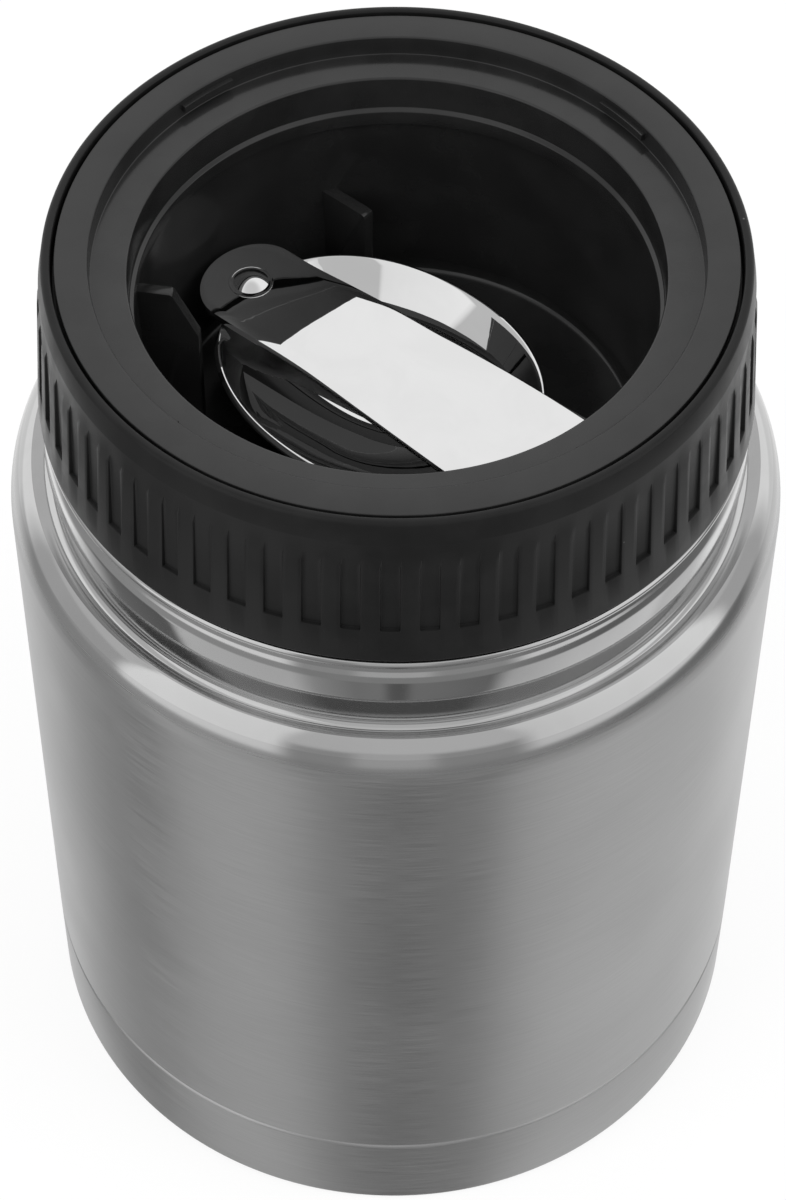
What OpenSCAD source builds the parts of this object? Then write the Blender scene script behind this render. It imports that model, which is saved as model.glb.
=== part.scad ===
// Wide-mouth insulated food jar with a screw lid and a folding spoon stored in the lid.
// Origin at the centre of the base, +Z up, millimetres.

/* [Steel body] */
// Outer diameter of the straight body
body_d = 100; // [94:1:125]
// Height of the straight body, up to the shoulder
body_h = 102; // [80:1:150]
// Height of the rounded shoulder
shoulder_h = 8.4; // [6:0.2:14]
// Thickness of the steel sheet
sheet_t = 0.6; // [0.5:0.05:0.8]
// Width of the vacuum space between the two walls
vacuum_gap = 3; // [2.4:0.2:5]
// Radius of the liner's bottom corner
liner_round = 9; // [5:0.5:14]
// Space between the liner's bottom and the base
bottom_gap = 7; // [5:0.5:12]

/* [Base] */
// Height of the seam between the base cup and the body
base_h = 15.5; // [12:0.5:24]
// Width of the seam line
seam_w = 0.7; // [0.4:0.1:1.2]
// Depth of the seam line
seam_depth = 0.3; // [0.15:0.05:0.4]
// How much narrower the foot is than the body, on the radius
foot_inset = 0.4; // [0.2:0.1:1]
// Radius of the rounded bottom edge
foot_round = 2; // [1.2:0.2:3]
// Width of the ring that the jar stands on
foot_ring_w = 5.6; // [3:0.2:9]
// Depth of the recess under the base
recess_h = 4; // [3:0.2:6]
// Thickness of the cover disc under the base
cover_t = 0.6; // [0.4:0.1:1]
// Radius of the seal-off dimple at the middle of the base
dimple_r = 3.2; // [2.6:0.2:4.4]
// Depth of the seal-off dimple
dimple_h = 1.2; // [0.8:0.1:1.6]
// Radius of the hole that the air is drawn through
seal_hole_r = 1; // [0.6:0.1:1.4]
// Radius of the getter's holder
getter_r = 6; // [4:0.5:8]
// Height of the getter's holder
getter_h = 2.2; // [1.8:0.1:3]
// Distance from the edge of the recess under the base in to the getter
getter_in = 18; // [12:1:18]

/* [Neck] */
// Outer diameter of the visible neck
neck_d = 88.4; // [84:0.2:92]
// Height of the plain neck under the lower ring
neck_plain_h = 3.5; // [2:0.1:6]
// Height of the lower ring
ring_h = 3.2; // [2:0.1:5]
// Height of the groove between the two rings
ring_gap_h = 3.3; // [2:0.1:5]
// Height of the upper ring
top_ring_h = 1.3; // [1:0.1:3]
// How far the rings stand proud of the neck
ring_proud = 0.7; // [0.3:0.05:0.7]
// Step inwards from the neck to its threaded part, on the radius
neck_step = 2.8; // [2.4:0.1:3.4]
// Height of the threaded part of the neck
mouth_h = 14; // [13:0.5:20]
// Space between the two walls at the mouth
lip_gap = 0.4; // [0.2:0.05:0.6]

/* [Thread] */
// Rise of the thread in one turn
thread_lead = 6; // [5.4:0.2:7]
// Length of the thread, in degrees of turn
thread_sweep = 450; // [300:10:480]
// Height of the thread's ridge
thread_h = 1.05; // [0.8:0.05:1.1]
// Width of the ridge at its foot
thread_w = 2.2; // [1.6:0.1:2.4]
// Width of the ridge at its crest
thread_crest_w = 1; // [0.6:0.1:1.4]
// Clearance between the ridges and what they face
thread_gap = 0.35; // [0.3:0.05:0.5]

/* [Lid collar] */
// Number of grip ribs round the collar
rib_count = 60; // [30:1:72]
// Width of one grip rib
rib_w = 2.3; // [1.2:0.1:2.6]
// Height of the part of a grip rib above the lower band
rib_h = 10.8; // [6:0.2:12]
// How far the ribs and the lower band stand proud at the foot of the ribs
rib_proud = 0.55; // [0.3:0.05:0.9]
// Height of the plain band under the ribs
band_h = 5.6; // [4:0.2:7]
// Thickness of the collar's wall at its lower edge, without the ribs
collar_wall = 1.75; // [1.6:0.05:2.6]
// How much the collar narrows from its lower edge to its shoulder, on the radius
collar_draft = 1.35; // [1:0.05:1.5]
// Thickness of the rounded rim at the top of the collar
rim_w = 1.1; // [0.9:0.05:1.6]
// Height of the crest of the rim above the insert's flange
rim_proud = 0.3; // [0:0.05:0.6]
// Width of the shadow gap between the rim and the insert
rim_gap = 0.5; // [0.35:0.05:0.8]
// Direction of one groove between two ribs
rib_phase = 269; // [0:1:360]
// Space between the bottom of the collar and the upper ring
collar_gap = 0.5; // [0.3:0.1:0.9]

/* [Lid insert] */
// Thickness of the moulded walls
plastic_t = 1.8; // [1.4:0.1:2.2]
// Thickness of the flange at the top
flange_t = 2; // [1.6:0.1:2.2]
// Depth of the step from the flange to the ledge
step_h = 2.8; // [2:0.1:3.2]
// Width of the ledge round the compartment
ledge_w = 4.6; // [3:0.1:5.4]
// Depth of the compartment under the ledge
cup_h = 33.5; // [31:0.5:38]
// How much the compartment narrows to its floor, on the radius
cup_draft = 0.8; // [0.2:0.1:1.2]
// Depth from the ledge to the ring round the compartment's wall
cup_ring_drop = 5.3; // [4:0.1:8]
// Height of the ring round the compartment's wall
cup_ring_h = 2.2; // [1.4:0.1:3]
// How far that ring stands proud
cup_ring_proud = 0.6; // [0.2:0.1:0.8]
// Width of the rounded corner at the compartment's floor
floor_round_w = 2; // [1:0.2:3]
// Height of the rounded corner at the compartment's floor
floor_round_h = 3.4; // [2:0.2:5]
// Number of bayonet lugs on the wall of the step
lug_count = 4; // [2:1:6]
// Length of a lug, in degrees
lug_sweep = 12; // [8:1:24]
// Direction of the first lug
lug_phase = -49; // [-90:1:90]
// How far a lug stands proud
lug_proud = 0.9; // [0.5:0.1:1.4]
// Height of a lug
lug_h = 1; // [0.6:0.1:1.4]
// Thickness of the locating ribs in the compartment
guide_t = 1.6; // [1:0.1:2.4]
// Height of the pad that the spoon's bowl rests on
pad_h = 2.2; // [1:0.1:4]
// Radius of that pad
pad_r = 5; // [3:0.5:7]

/* [Lid plug] */
// Clearance between the plug and the jar's mouth, on the radius
plug_gap = 0.6; // [0.4:0.05:0.9]
// Thickness of the insulation under the compartment
foam_h = 3.4; // [2:0.2:10]
// Clearance round the insulation
foam_gap = 0.2; // [0.1:0.05:0.4]
// Height of the seal ring
gasket_h = 2.6; // [2:0.1:4]
// Radius of the plug's bottom corner
plug_round = 5; // [3:0.5:8]

/* [Spoon] */
// Direction from the rivet along the handle
spoon_turn = -39.4; // [-60:0.2:-20]
// Thickness of the spoon's steel
spoon_t = 1; // [0.8:0.05:1.2]
// Width of the bowl
bowl_w = 34.4; // [28:0.4:38]
// Depth of the bowl
bowl_depth = 8.6; // [6:0.2:10]
// Distance from the bowl's tip to the compartment's wall
bowl_end_gap = 12.4; // [9:0.2:18]
// Radius of the bowl's neck plate and length of the handle behind the rivet
neck_plate_r = 6; // [5:0.1:7]
// Width of the handle at the rivet
handle_neck_w = 14.4; // [12:0.2:16]
// Width of the handle's wide end
handle_end_w = 18.4; // [13:0.2:20]
// Radius of the corners of the handle's wide end
handle_corner = 4; // [3:0.5:6]
// Distance from the handle's wide end to the compartment's wall
handle_end_gap = 4.7; // [4.4:0.1:9]
// Distance from the handle's round end to the compartment's wall
spoon_gap = 1.1; // [0.8:0.1:2]
// Radius of the rivet's shank
shank_r = 1.6; // [1.2:0.1:2]
// Radius of the rivet's heads
rivet_head_r = 2.9; // [2.6:0.1:3.4]
// Height of the rivet's heads
rivet_head_h = 0.5; // [0.3:0.05:0.8]
// Radius of the dish in the rivet's head
rivet_dish_r = 2.4; // [1.2:0.1:2.4]

/* [Hidden] */
$fn = 96;

// Clearance between pieces that move past each other
move_gap = 0.3;
// Clearance of a shaft in its hole
run_gap = 0.05;
// Overlap that joins two shapes of one piece
weld = 0.3;
// Number of straight pieces in a quarter of a round profile
arc_steps = 12;

// Body and neck
body_r = body_d / 2;
neck_r = neck_d / 2;
shoulder_top = body_h + shoulder_h;
ring_z = shoulder_top + neck_plain_h;
top_ring_z = ring_z + ring_h + ring_gap_h;
neck_top = top_ring_z + top_ring_h;
thread_r = neck_r - neck_step;
shell_top = neck_top + mouth_h;
mouth_z = shell_top + sheet_t;
mouth_r = thread_r - 2 * sheet_t - lip_gap;
ring_edge = 0.35;

// Liner and vacuum space
liner_r = body_r - sheet_t - vacuum_gap;
liner_neck_r = mouth_r + sheet_t;
liner_z = recess_h + sheet_t + bottom_gap;
liner_shoulder_z = body_h - vacuum_gap;
foil_t = 0.2;
foil_gap = 0.1;
foil_margin = 2;

// Base
foot_r = body_r - foot_inset;
recess_r = foot_r - foot_round - foot_ring_w;
getter_at = recess_r - getter_in;
cover_gap = 0.4;
getter_wall = 0.7;
bond = 0.05;

// Lid, from the jar's mouth upwards
gasket_z = mouth_z + move_gap;
plug_flange_z = gasket_z + gasket_h;
plug_flange_top = plug_flange_z + plastic_t;
shelf_z = plug_flange_top + move_gap;
shelf_top = shelf_z + plastic_t;
flange_z = shelf_top + move_gap;
lid_top = flange_z + flange_t;
ledge_z = lid_top - step_h;
floor_z = ledge_z - cup_h;

// Lid, from the jar's mouth inwards and outwards
plug_r = mouth_r - plug_gap;
step_r = plug_r - plastic_t;
cup_r = step_r - ledge_w;
cup_floor_r = cup_r - cup_draft;
collar_in_r = thread_r + thread_h + thread_gap;
band_r = collar_in_r + collar_wall + rib_proud;
rim_lap = 0.25;
rim_out_r = collar_in_r + rim_lap;
rim_in_r = rim_out_r - rim_w;
flange_r = rim_in_r - rim_gap;
plug_flange_r = collar_in_r - 2 * move_gap;
gasket_r = thread_r + weld;
collar_z = neck_top + collar_gap;
collar_top = lid_top + rim_proud;
rib_z = collar_z + band_h;
plug_z = floor_z - plastic_t - foam_h - 2 * foam_gap - plastic_t;

// The locating ribs. Each has the direction from the jar's axis to its place on the wall, its
// turn from the straight way inwards, the depth of its top under the ledge, its length at the
// top, and the length and height of its sloping end
guide_ribs = [[170.7, 0, 9.5, 4.5, 3.2, 7], [106.4, 34, 18.4, 6.8, 0.4, 0.4],
    [-40.5, 0, 3.6, 1.8, 0.6, 1]];

// Thread
thread_start = 3.1;
thread_z = neck_top + thread_w / 2 + thread_start;
thread_step = 6;
thread_fade = 24;
thread_tip = 0.05;
collar_thread_from = 120;
collar_thread_drop = thread_w + thread_gap;

// Spoon, from the compartment's floor upwards. The pivot is beside the axis that runs through
// the compartment's middle, and the bowl points a little to one side of the folded handle
pivot_side = 0.65;
bowl_skew = -1.4;
bowl_rim_z = floor_z + pad_h + move_gap + spoon_t + bowl_depth;
plate_gap = 0.2;
handle_z = bowl_rim_z + plate_gap;
handle_top = handle_z + spoon_t;
pivot_r = cup_floor_r - spoon_gap - neck_plate_r;
handle_len = pivot_r + cup_floor_r - handle_end_gap;
bowl_tip = pivot_r + cup_floor_r - bowl_end_gap;
bowl_mid_share = 0.5;
bowl_behind = 1;
bowl_mid = bowl_mid_share * bowl_tip;
bowl_back = bowl_mid + bowl_behind;
bowl_front = bowl_tip - bowl_mid;
flat_margin = 0.5;
bowl_flat = neck_plate_r + flat_margin;
bowl_full = 2.2;
bowl_slope = 14;
bowl_rings = 7;
bowl_spokes = 48;

// Points of an elliptical arc, from angle a0 to angle a1
function arc_points(x, y, rx, ry, a0, a1, steps = arc_steps) =
    [for (i = [0:steps]) let (a = a0 + (a1 - a0) * i / steps) [x + rx * cos(a), y + ry * sin(a)]];

// A smooth rise from 0 to 1 as x goes from 0 to 1
function smooth(x) = let (c = min(1, max(0, x))) c * c * (3 - 2 * c);

// A helical ridge of trapezoid section: its foot is at foot_radius, its crest at crest_radius
module helix_ridge(foot_radius, crest_radius, start_z, from, sweep) {
    steps = ceil(sweep / thread_step);
    rings = [for (i = [0:steps])
        let (
            turned = sweep * i / steps,
            a = from + turned,
            z = start_z + thread_lead * a / 360,
            fade = smooth(min(turned, sweep - turned) / thread_fade),
            tip = foot_radius + (crest_radius - foot_radius) * max(thread_tip, fade)
        )
        [
            [foot_radius * cos(a), foot_radius * sin(a), z - thread_w / 2],
            [tip * cos(a), tip * sin(a), z - thread_crest_w / 2],
            [tip * cos(a), tip * sin(a), z + thread_crest_w / 2],
            [foot_radius * cos(a), foot_radius * sin(a), z + thread_w / 2]
        ]];
    points = [for (ring = rings) each ring];
    inward = crest_radius < foot_radius;
    sides = [for (i = [0:steps - 1]) for (k = [0:3])
        let (p = 4 * i + k, q = 4 * i + (k + 1) % 4)
        each [[p, p + 4, q], [q, p + 4, q + 4]]];
    last = 4 * steps;
    ends = [[0, 1, 3], [1, 2, 3], [last, last + 3, last + 1], [last + 1, last + 3, last + 2]];
    faces = concat(sides, ends);
    polyhedron(points, inward ? faces : [for (f = faces) [f[2], f[1], f[0]]]);
}

// One ring on the neck, with its edges broken
function ring_points(z, h) = [
    [neck_r, z], [neck_r + ring_proud, z + ring_edge],
    [neck_r + ring_proud, z + h - ring_edge], [neck_r, z + h]];

module outer_shell() {
    inner_r = neck_r - sheet_t;
    outside = concat(
        [[body_r - seam_depth, base_h], [body_r, base_h + seam_w / 2]],
        arc_points(neck_r, body_h, body_r - neck_r, shoulder_h, 0, 90),
        ring_points(ring_z, ring_h),
        [[neck_r, top_ring_z], [neck_r + ring_proud, top_ring_z + ring_edge],
         [neck_r + ring_proud, neck_top - ring_edge], [neck_r + ring_proud - ring_edge, neck_top],
         [thread_r, neck_top], [thread_r, shell_top]]);
    inside = concat(
        [[thread_r - sheet_t, shell_top], [thread_r - sheet_t, neck_top - sheet_t],
         [inner_r, neck_top - sheet_t], [inner_r, shoulder_top - sheet_t]],
        arc_points(neck_r, body_h, body_r - neck_r - sheet_t, shoulder_h - sheet_t, 90, 0),
        [[body_r - sheet_t, base_h]]);
    color("silver") {
        rotate_extrude() polygon(concat(outside, inside));
        helix_ridge(thread_r - weld, thread_r + thread_h, thread_z, 0, thread_sweep);
    }
}

module base_cup() {
    floor_top = recess_h + sheet_t;
    outside = concat(
        [[body_r - seam_depth, base_h], [body_r, base_h - seam_w / 2]],
        arc_points(foot_r - foot_round, foot_round, foot_round, foot_round, 0, -90),
        [[recess_r, 0], [recess_r, recess_h], [dimple_r, recess_h],
         [seal_hole_r, recess_h + dimple_h]]);
    inside = concat(
        [[seal_hole_r, floor_top + dimple_h], [dimple_r, floor_top], [recess_r + sheet_t, floor_top],
         [recess_r + sheet_t, sheet_t]],
        arc_points(foot_r - foot_round, foot_round, foot_round - sheet_t, foot_round - sheet_t, -90, 0),
        [[body_r - sheet_t, base_h - seam_w / 2], [body_r - sheet_t, base_h]]);
    color("silver") rotate_extrude() polygon(concat(outside, inside));
}

module inner_vessel() {
    shoulder_w = liner_r - liner_neck_r;
    outside = concat(
        [[0, liner_z]],
        arc_points(liner_r - liner_round, liner_z + liner_round, liner_round, liner_round, -90, 0),
        arc_points(liner_neck_r, liner_shoulder_z, shoulder_w, shoulder_h, 0, 90),
        [[liner_neck_r, shell_top], [thread_r, shell_top], [thread_r, mouth_z]]);
    inside = concat(
        [[mouth_r, mouth_z], [mouth_r, liner_shoulder_z + shoulder_h - sheet_t]],
        arc_points(liner_neck_r, liner_shoulder_z, shoulder_w - sheet_t, shoulder_h - sheet_t, 90, 0),
        arc_points(liner_r - liner_round, liner_z + liner_round, liner_round - sheet_t,
            liner_round - sheet_t, 0, -90),
        [[0, liner_z + sheet_t]]);
    color("gainsboro") rotate_extrude() polygon(concat(outside, inside));
}

module radiation_foil() {
    from_z = liner_z + liner_round + foil_margin;
    color("peru") translate([0, 0, from_z]) difference() {
        foil_h = liner_shoulder_z - foil_margin - from_z;
        cylinder(r = liner_r + foil_gap + foil_t, h = foil_h);
        translate([0, 0, -weld]) cylinder(r = liner_r + foil_gap, h = foil_h + 2 * weld);
    }
}

module getter_holder() {
    color("dimgray") translate([getter_at, 0, recess_h + sheet_t]) difference() {
        cylinder(r = getter_r, h = getter_h);
        translate([0, 0, getter_wall]) cylinder(r = getter_r - getter_wall, h = getter_h);
    }
}

module getter_pellet() {
    color("darkgray") translate([getter_at, 0, recess_h + sheet_t + getter_wall])
        cylinder(r = getter_r - getter_wall - bond, h = getter_h - getter_wall - bond);
}

module seal_off_bead() {
    color("darkslategray") rotate_extrude() polygon([
        [0, recess_h], [dimple_r - bond, recess_h], [seal_hole_r - bond, recess_h + dimple_h],
        [seal_hole_r - bond, recess_h + dimple_h + sheet_t], [0, recess_h + dimple_h + sheet_t]]);
}

module base_cover() {
    color("silver") translate([0, 0, recess_h - cover_t])
        cylinder(r = recess_r - cover_gap, h = cover_t);
}

// A rib on the compartment's wall that keeps the spoon from turning
module guide_rib(direction, turn, drop, reach, slope_l, slope_h) {
    top = ledge_z - drop;
    root = 2 * weld;
    rotate([0, 0, direction]) translate([cup_r, 0, 0]) rotate([90, 0, turn])
        translate([0, 0, -guide_t / 2]) linear_extrude(guide_t) polygon([
            [root, top], [-reach, top], [-reach - slope_l, top - slope_h],
            [-reach - slope_l, floor_z - weld], [root - cup_draft, floor_z - weld]]);
}

module lid_insert() {
    edge = 0.3;
    step_slope = 0.1;
    ring_top = ledge_z - cup_ring_drop;
    cup_out_r = cup_r + plastic_t;
    floor_under = floor_z - plastic_t;
    ring_r = cup_r - cup_ring_proud;
    inside = concat(
        [[0, floor_z]],
        arc_points(cup_floor_r - floor_round_w, floor_z + floor_round_h, floor_round_w,
            floor_round_h, -90, 0),
        [[cup_r, ring_top - cup_ring_h - edge], [ring_r, ring_top - cup_ring_h],
         [ring_r, ring_top], [cup_r, ring_top + edge], [cup_r, ledge_z - edge],
         [cup_r + edge, ledge_z], [step_r - step_slope, ledge_z], [step_r, lid_top - edge],
         [step_r + edge, lid_top]]);
    outside = [
        [flange_r - edge, lid_top], [flange_r, lid_top - edge], [flange_r, flange_z],
        [plug_r, flange_z], [plug_r, ledge_z - plastic_t], [cup_out_r, ledge_z - plastic_t],
        [cup_out_r, floor_under + floor_round_h], [cup_out_r - floor_round_w, floor_under],
        [0, floor_under]];
    color([0.12, 0.12, 0.12]) {
        rotate_extrude() polygon(concat(inside, outside));
        for (g = guide_ribs) guide_rib(g[0], g[1], g[2], g[3], g[4], g[5]);
        for (i = [0:lug_count - 1])
            rotate([0, 0, lug_phase - lug_sweep / 2 + i * 360 / lug_count])
                translate([0, 0, (ledge_z + lid_top - lug_h) / 2])
                    rotate_extrude(angle = lug_sweep)
                        translate([step_r - lug_proud, 0]) square([lug_proud + weld, lug_h]);
        translate([0, 0, floor_z - weld]) cylinder(r = pad_r, h = pad_h + weld);
    }
}

module lid_plug() {
    wall_top = ledge_z - plastic_t;
    outside = concat(
        [[0, plug_z]],
        arc_points(plug_r - plug_round, plug_z + plug_round, plug_round, plug_round, -90, 0),
        [[plug_r, plug_flange_z], [plug_flange_r, plug_flange_z], [plug_flange_r, plug_flange_top],
         [plug_r + move_gap, plug_flange_top], [plug_r + move_gap, wall_top]]);
    inside = concat(
        [[step_r, wall_top]],
        arc_points(plug_r - plug_round, plug_z + plug_round, plug_round - plastic_t,
            plug_round - plastic_t, 0, -90),
        [[0, plug_z + plastic_t]]);
    color([0.15, 0.15, 0.15]) rotate_extrude() polygon(concat(outside, inside));
}

module foam_core() {
    in_r = cup_r + plastic_t + foam_gap;
    out_r = step_r - foam_gap;
    bottom = plug_z + plastic_t + foam_gap;
    top = ledge_z - plastic_t - foam_gap;
    cup_under = floor_z - plastic_t - foam_gap;
    corner = plug_round - plastic_t;
    color("khaki") rotate_extrude() polygon(concat(
        [[0, bottom]],
        arc_points(out_r - corner, bottom + corner, corner, corner, -90, 0),
        [[out_r, top], [in_r, top], [in_r, cup_under], [0, cup_under]]));
}

module lid_gasket() {
    lip = 0.5;
    color("whitesmoke") rotate_extrude() polygon([
        [plug_r + bond, gasket_z + lip], [plug_r + 2 * lip, gasket_z],
        [gasket_r - 2 * lip, gasket_z], [gasket_r, gasket_z + lip],
        [gasket_r, gasket_z + 2 * lip], [gasket_r - lip, gasket_z + 3 * lip],
        [gasket_r, gasket_z + 4 * lip], [gasket_r, plug_flange_z], [plug_r + bond, plug_flange_z]]);
}

module lid_collar() {
    crown_z = rib_z + rib_h;
    rib_slope = 1.4;
    rib_setback = 0.08;
    rim_round = rim_w / 2;
    edge = 0.4;
    shoulder_z = lid_top - 3;
    shoulder_in = 0.15;
    shelf_in_r = plug_r + move_gap;
    draft = collar_draft / (shoulder_z - collar_z);
    foot_r = band_r - draft * (rib_z - collar_z);
    rib_foot_r = foot_r + draft * weld - rib_setback;
    rib_crown_r = band_r - draft * (crown_z - collar_z) - rib_setback;
    shoulder_r = band_r - collar_draft - shoulder_in;
    outside = concat(
        [[band_r - edge, collar_z], [band_r, collar_z + edge], [foot_r, rib_z],
         [foot_r - rib_proud, rib_z], [shoulder_r, shoulder_z]],
        arc_points(rim_out_r - rim_round, collar_top - rim_round, rim_round, rim_round, 0, 180));
    inside = [
        [rim_in_r, shelf_top], [shelf_in_r, shelf_top], [shelf_in_r, shelf_z],
        [collar_in_r, shelf_z], [collar_in_r, collar_z + edge], [collar_in_r + edge, collar_z]];
    color([0.1, 0.1, 0.1]) {
        rotate_extrude() polygon(concat(outside, inside));
        for (i = [0:rib_count - 1])
            rotate([0, 0, rib_phase + (i + 0.5) * 360 / rib_count])
                translate([0, rib_w / 2, 0]) rotate([90, 0, 0]) linear_extrude(rib_w) polygon([
                    [collar_in_r + weld, rib_z - weld], [rib_foot_r, rib_z - weld],
                    [rib_crown_r, crown_z], [shoulder_r, crown_z + rib_slope],
                    [collar_in_r + weld, crown_z + rib_slope]]);
        helix_ridge(collar_in_r + weld, thread_r + thread_gap, thread_z - collar_thread_drop,
            collar_thread_from, thread_sweep);
    }
}

// Places a shape drawn with the rivet at its origin and the handle along +X
module on_spoon_axis() {
    rotate([0, 0, spoon_turn]) translate([-pivot_r, pivot_side, 0]) children();
}

// A point of the bowl's upper surface: t is 0 at the middle and 1 at the rim
function bowl_point(t, a) =
    let (
        length = cos(a) > 0 ? bowl_front : bowl_back,
        x = bowl_mid + t * length * sign(cos(a)) * pow(abs(cos(a)), 2 / bowl_full),
        y = t * bowl_w / 2 * sign(sin(a)) * pow(abs(sin(a)), 2 / bowl_full),
        dish = smooth((x - bowl_flat) / bowl_slope)
    )
    [x, y, bowl_rim_z - bowl_depth * (1 - t * t) * dish];

module bowl_dish() {
    n = bowl_spokes;
    top = [for (i = [1:bowl_rings]) for (k = [0:n - 1]) bowl_point(i / bowl_rings, 360 * k / n)];
    middle = bowl_point(0, 0);
    under = [for (p = top) [p[0], p[1], p[2] - spoon_t]];
    points = concat(top, [middle], under, [[middle[0], middle[1], middle[2] - spoon_t]]);
    count = len(top) + 1;
    fan = [for (k = [0:n - 1]) [count - 1, (k + 1) % n, k]];
    bands = [for (i = [0:bowl_rings - 2]) for (k = [0:n - 1])
        let (p = i * n + k, q = i * n + (k + 1) % n)
        each [[p, q, p + n], [q, q + n, p + n]]];
    upper = concat(fan, bands);
    lower = [for (f = upper) [f[0] + count, f[2] + count, f[1] + count]];
    rim = [for (k = [0:n - 1])
        let (p = (bowl_rings - 1) * n + k, q = (bowl_rings - 1) * n + (k + 1) % n)
        each [[p, q, p + count], [q, q + count, p + count]]];
    polyhedron(points, concat(upper, lower, rim));
}

module spoon_bowl() {
    color("lightgray") on_spoon_axis() difference() {
        union() {
            rotate([0, 0, bowl_skew]) bowl_dish();
            translate([0, 0, bowl_rim_z - spoon_t]) cylinder(r = neck_plate_r, h = spoon_t);
        }
        translate([0, 0, bowl_rim_z - 2 * spoon_t])
            cylinder(r = shank_r + run_gap, h = 3 * spoon_t);
    }
}

module spoon_handle() {
    end_half = handle_end_w / 2;
    corner_x = handle_len - handle_corner;
    outline = concat(
        arc_points(0, 0, neck_plate_r, handle_neck_w / 2, 90, 270, 2 * arc_steps),
        arc_points(corner_x, handle_corner - end_half, handle_corner, handle_corner, -90, 0),
        arc_points(corner_x, end_half - handle_corner, handle_corner, handle_corner, 0, 90));
    color("lightgray") on_spoon_axis() translate([0, 0, handle_z]) difference() {
        linear_extrude(spoon_t) polygon(outline);
        translate([0, 0, -spoon_t]) cylinder(r = shank_r + run_gap, h = 3 * spoon_t);
    }
}

module spoon_rivet() {
    under = bowl_rim_z - spoon_t - bond;
    above = handle_top + bond;
    head_edge = 0.2;
    color("gray") on_spoon_axis() rotate_extrude() polygon([
        [0, under - rivet_head_h], [rivet_head_r - head_edge, under - rivet_head_h],
        [rivet_head_r, under - rivet_head_h + head_edge], [rivet_head_r, under],
        [shank_r, under], [shank_r, above], [rivet_head_r, above],
        [rivet_head_r, above + rivet_head_h - head_edge],
        [rivet_head_r - head_edge, above + rivet_head_h], [rivet_dish_r, above + rivet_head_h],
        [rivet_dish_r / 2, above + head_edge], [0, above]]);
}

outer_shell();
base_cup();
inner_vessel();
radiation_foil();
getter_holder();
getter_pellet();
seal_off_bead();
base_cover();
lid_insert();
lid_plug();
foam_core();
lid_gasket();
lid_collar();
spoon_bowl();
spoon_rivet();
spoon_handle();
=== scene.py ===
"""Insulated food jar with a ribbed screw lid and a folding spoon, laid out as a Blender add-on."""
import math
from types import SimpleNamespace

import bmesh
import bpy
from bpy.props import FloatProperty, FloatVectorProperty, IntProperty, PointerProperty
from bpy.types import Operator, Panel, PropertyGroup
from mathutils import Matrix, Vector


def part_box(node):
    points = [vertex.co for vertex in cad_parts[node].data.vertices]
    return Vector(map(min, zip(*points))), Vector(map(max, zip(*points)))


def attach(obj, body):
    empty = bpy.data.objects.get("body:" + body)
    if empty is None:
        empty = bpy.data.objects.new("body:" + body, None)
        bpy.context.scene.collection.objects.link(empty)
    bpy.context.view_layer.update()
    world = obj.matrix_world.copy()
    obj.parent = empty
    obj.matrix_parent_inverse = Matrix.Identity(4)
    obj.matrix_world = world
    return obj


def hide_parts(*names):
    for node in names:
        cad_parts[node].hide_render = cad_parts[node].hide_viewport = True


bl_info = {
    "name": "Insulated food jar",
    "version": (1, 0, 0),
    "blender": (4, 5, 0),
    "location": "3D Viewport > Sidebar > Food jar",
    "description": "Builds a steel food jar with a ribbed screw lid and a folding spoon",
    "category": "Add Mesh",
}

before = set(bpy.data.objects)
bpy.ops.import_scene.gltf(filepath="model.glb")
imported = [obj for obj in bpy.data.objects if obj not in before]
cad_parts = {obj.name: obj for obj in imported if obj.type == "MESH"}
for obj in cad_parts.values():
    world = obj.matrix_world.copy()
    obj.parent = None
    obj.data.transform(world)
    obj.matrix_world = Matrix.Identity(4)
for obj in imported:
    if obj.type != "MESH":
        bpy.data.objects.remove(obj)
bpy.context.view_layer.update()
MM = 0.001
ROUND_STEPS = 4
SMOOTH_ANGLE = math.radians(28)
POLISH_DEPTH = 2.8    # how far below the shoulder's top the polish begins, in millimetres
FLANGE_THICKNESS = 2.0    # of the insert, in millimetres
THREAD_START = 4.2    # how far above the neck's top ring the thread begins, in millimetres


def node_top(node):
    """The highest z of a CAD node, in metres."""
    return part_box(node)[1].z


def node_radius(node):
    """The outer radius of a round CAD node, in metres."""
    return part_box(node)[1].x


# Sizes and colours that can be changed in the sidebar


def length(name, description, default):
    return FloatProperty(name=name, description=description, default=default, min=0.0,
                         unit="LENGTH", precision=5)


def angle(name, description, degrees):
    return FloatProperty(name=name, description=description, default=math.radians(degrees),
                         subtype="ANGLE")


def share(name, description, default):
    return FloatProperty(name=name, description=description, default=default, min=0.0,
                         max=1.0, subtype="FACTOR")


def colour(name, description, default):
    return FloatVectorProperty(name=name, description=description, default=default, size=3,
                               min=0.0, max=1.0, subtype="COLOR")


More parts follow.
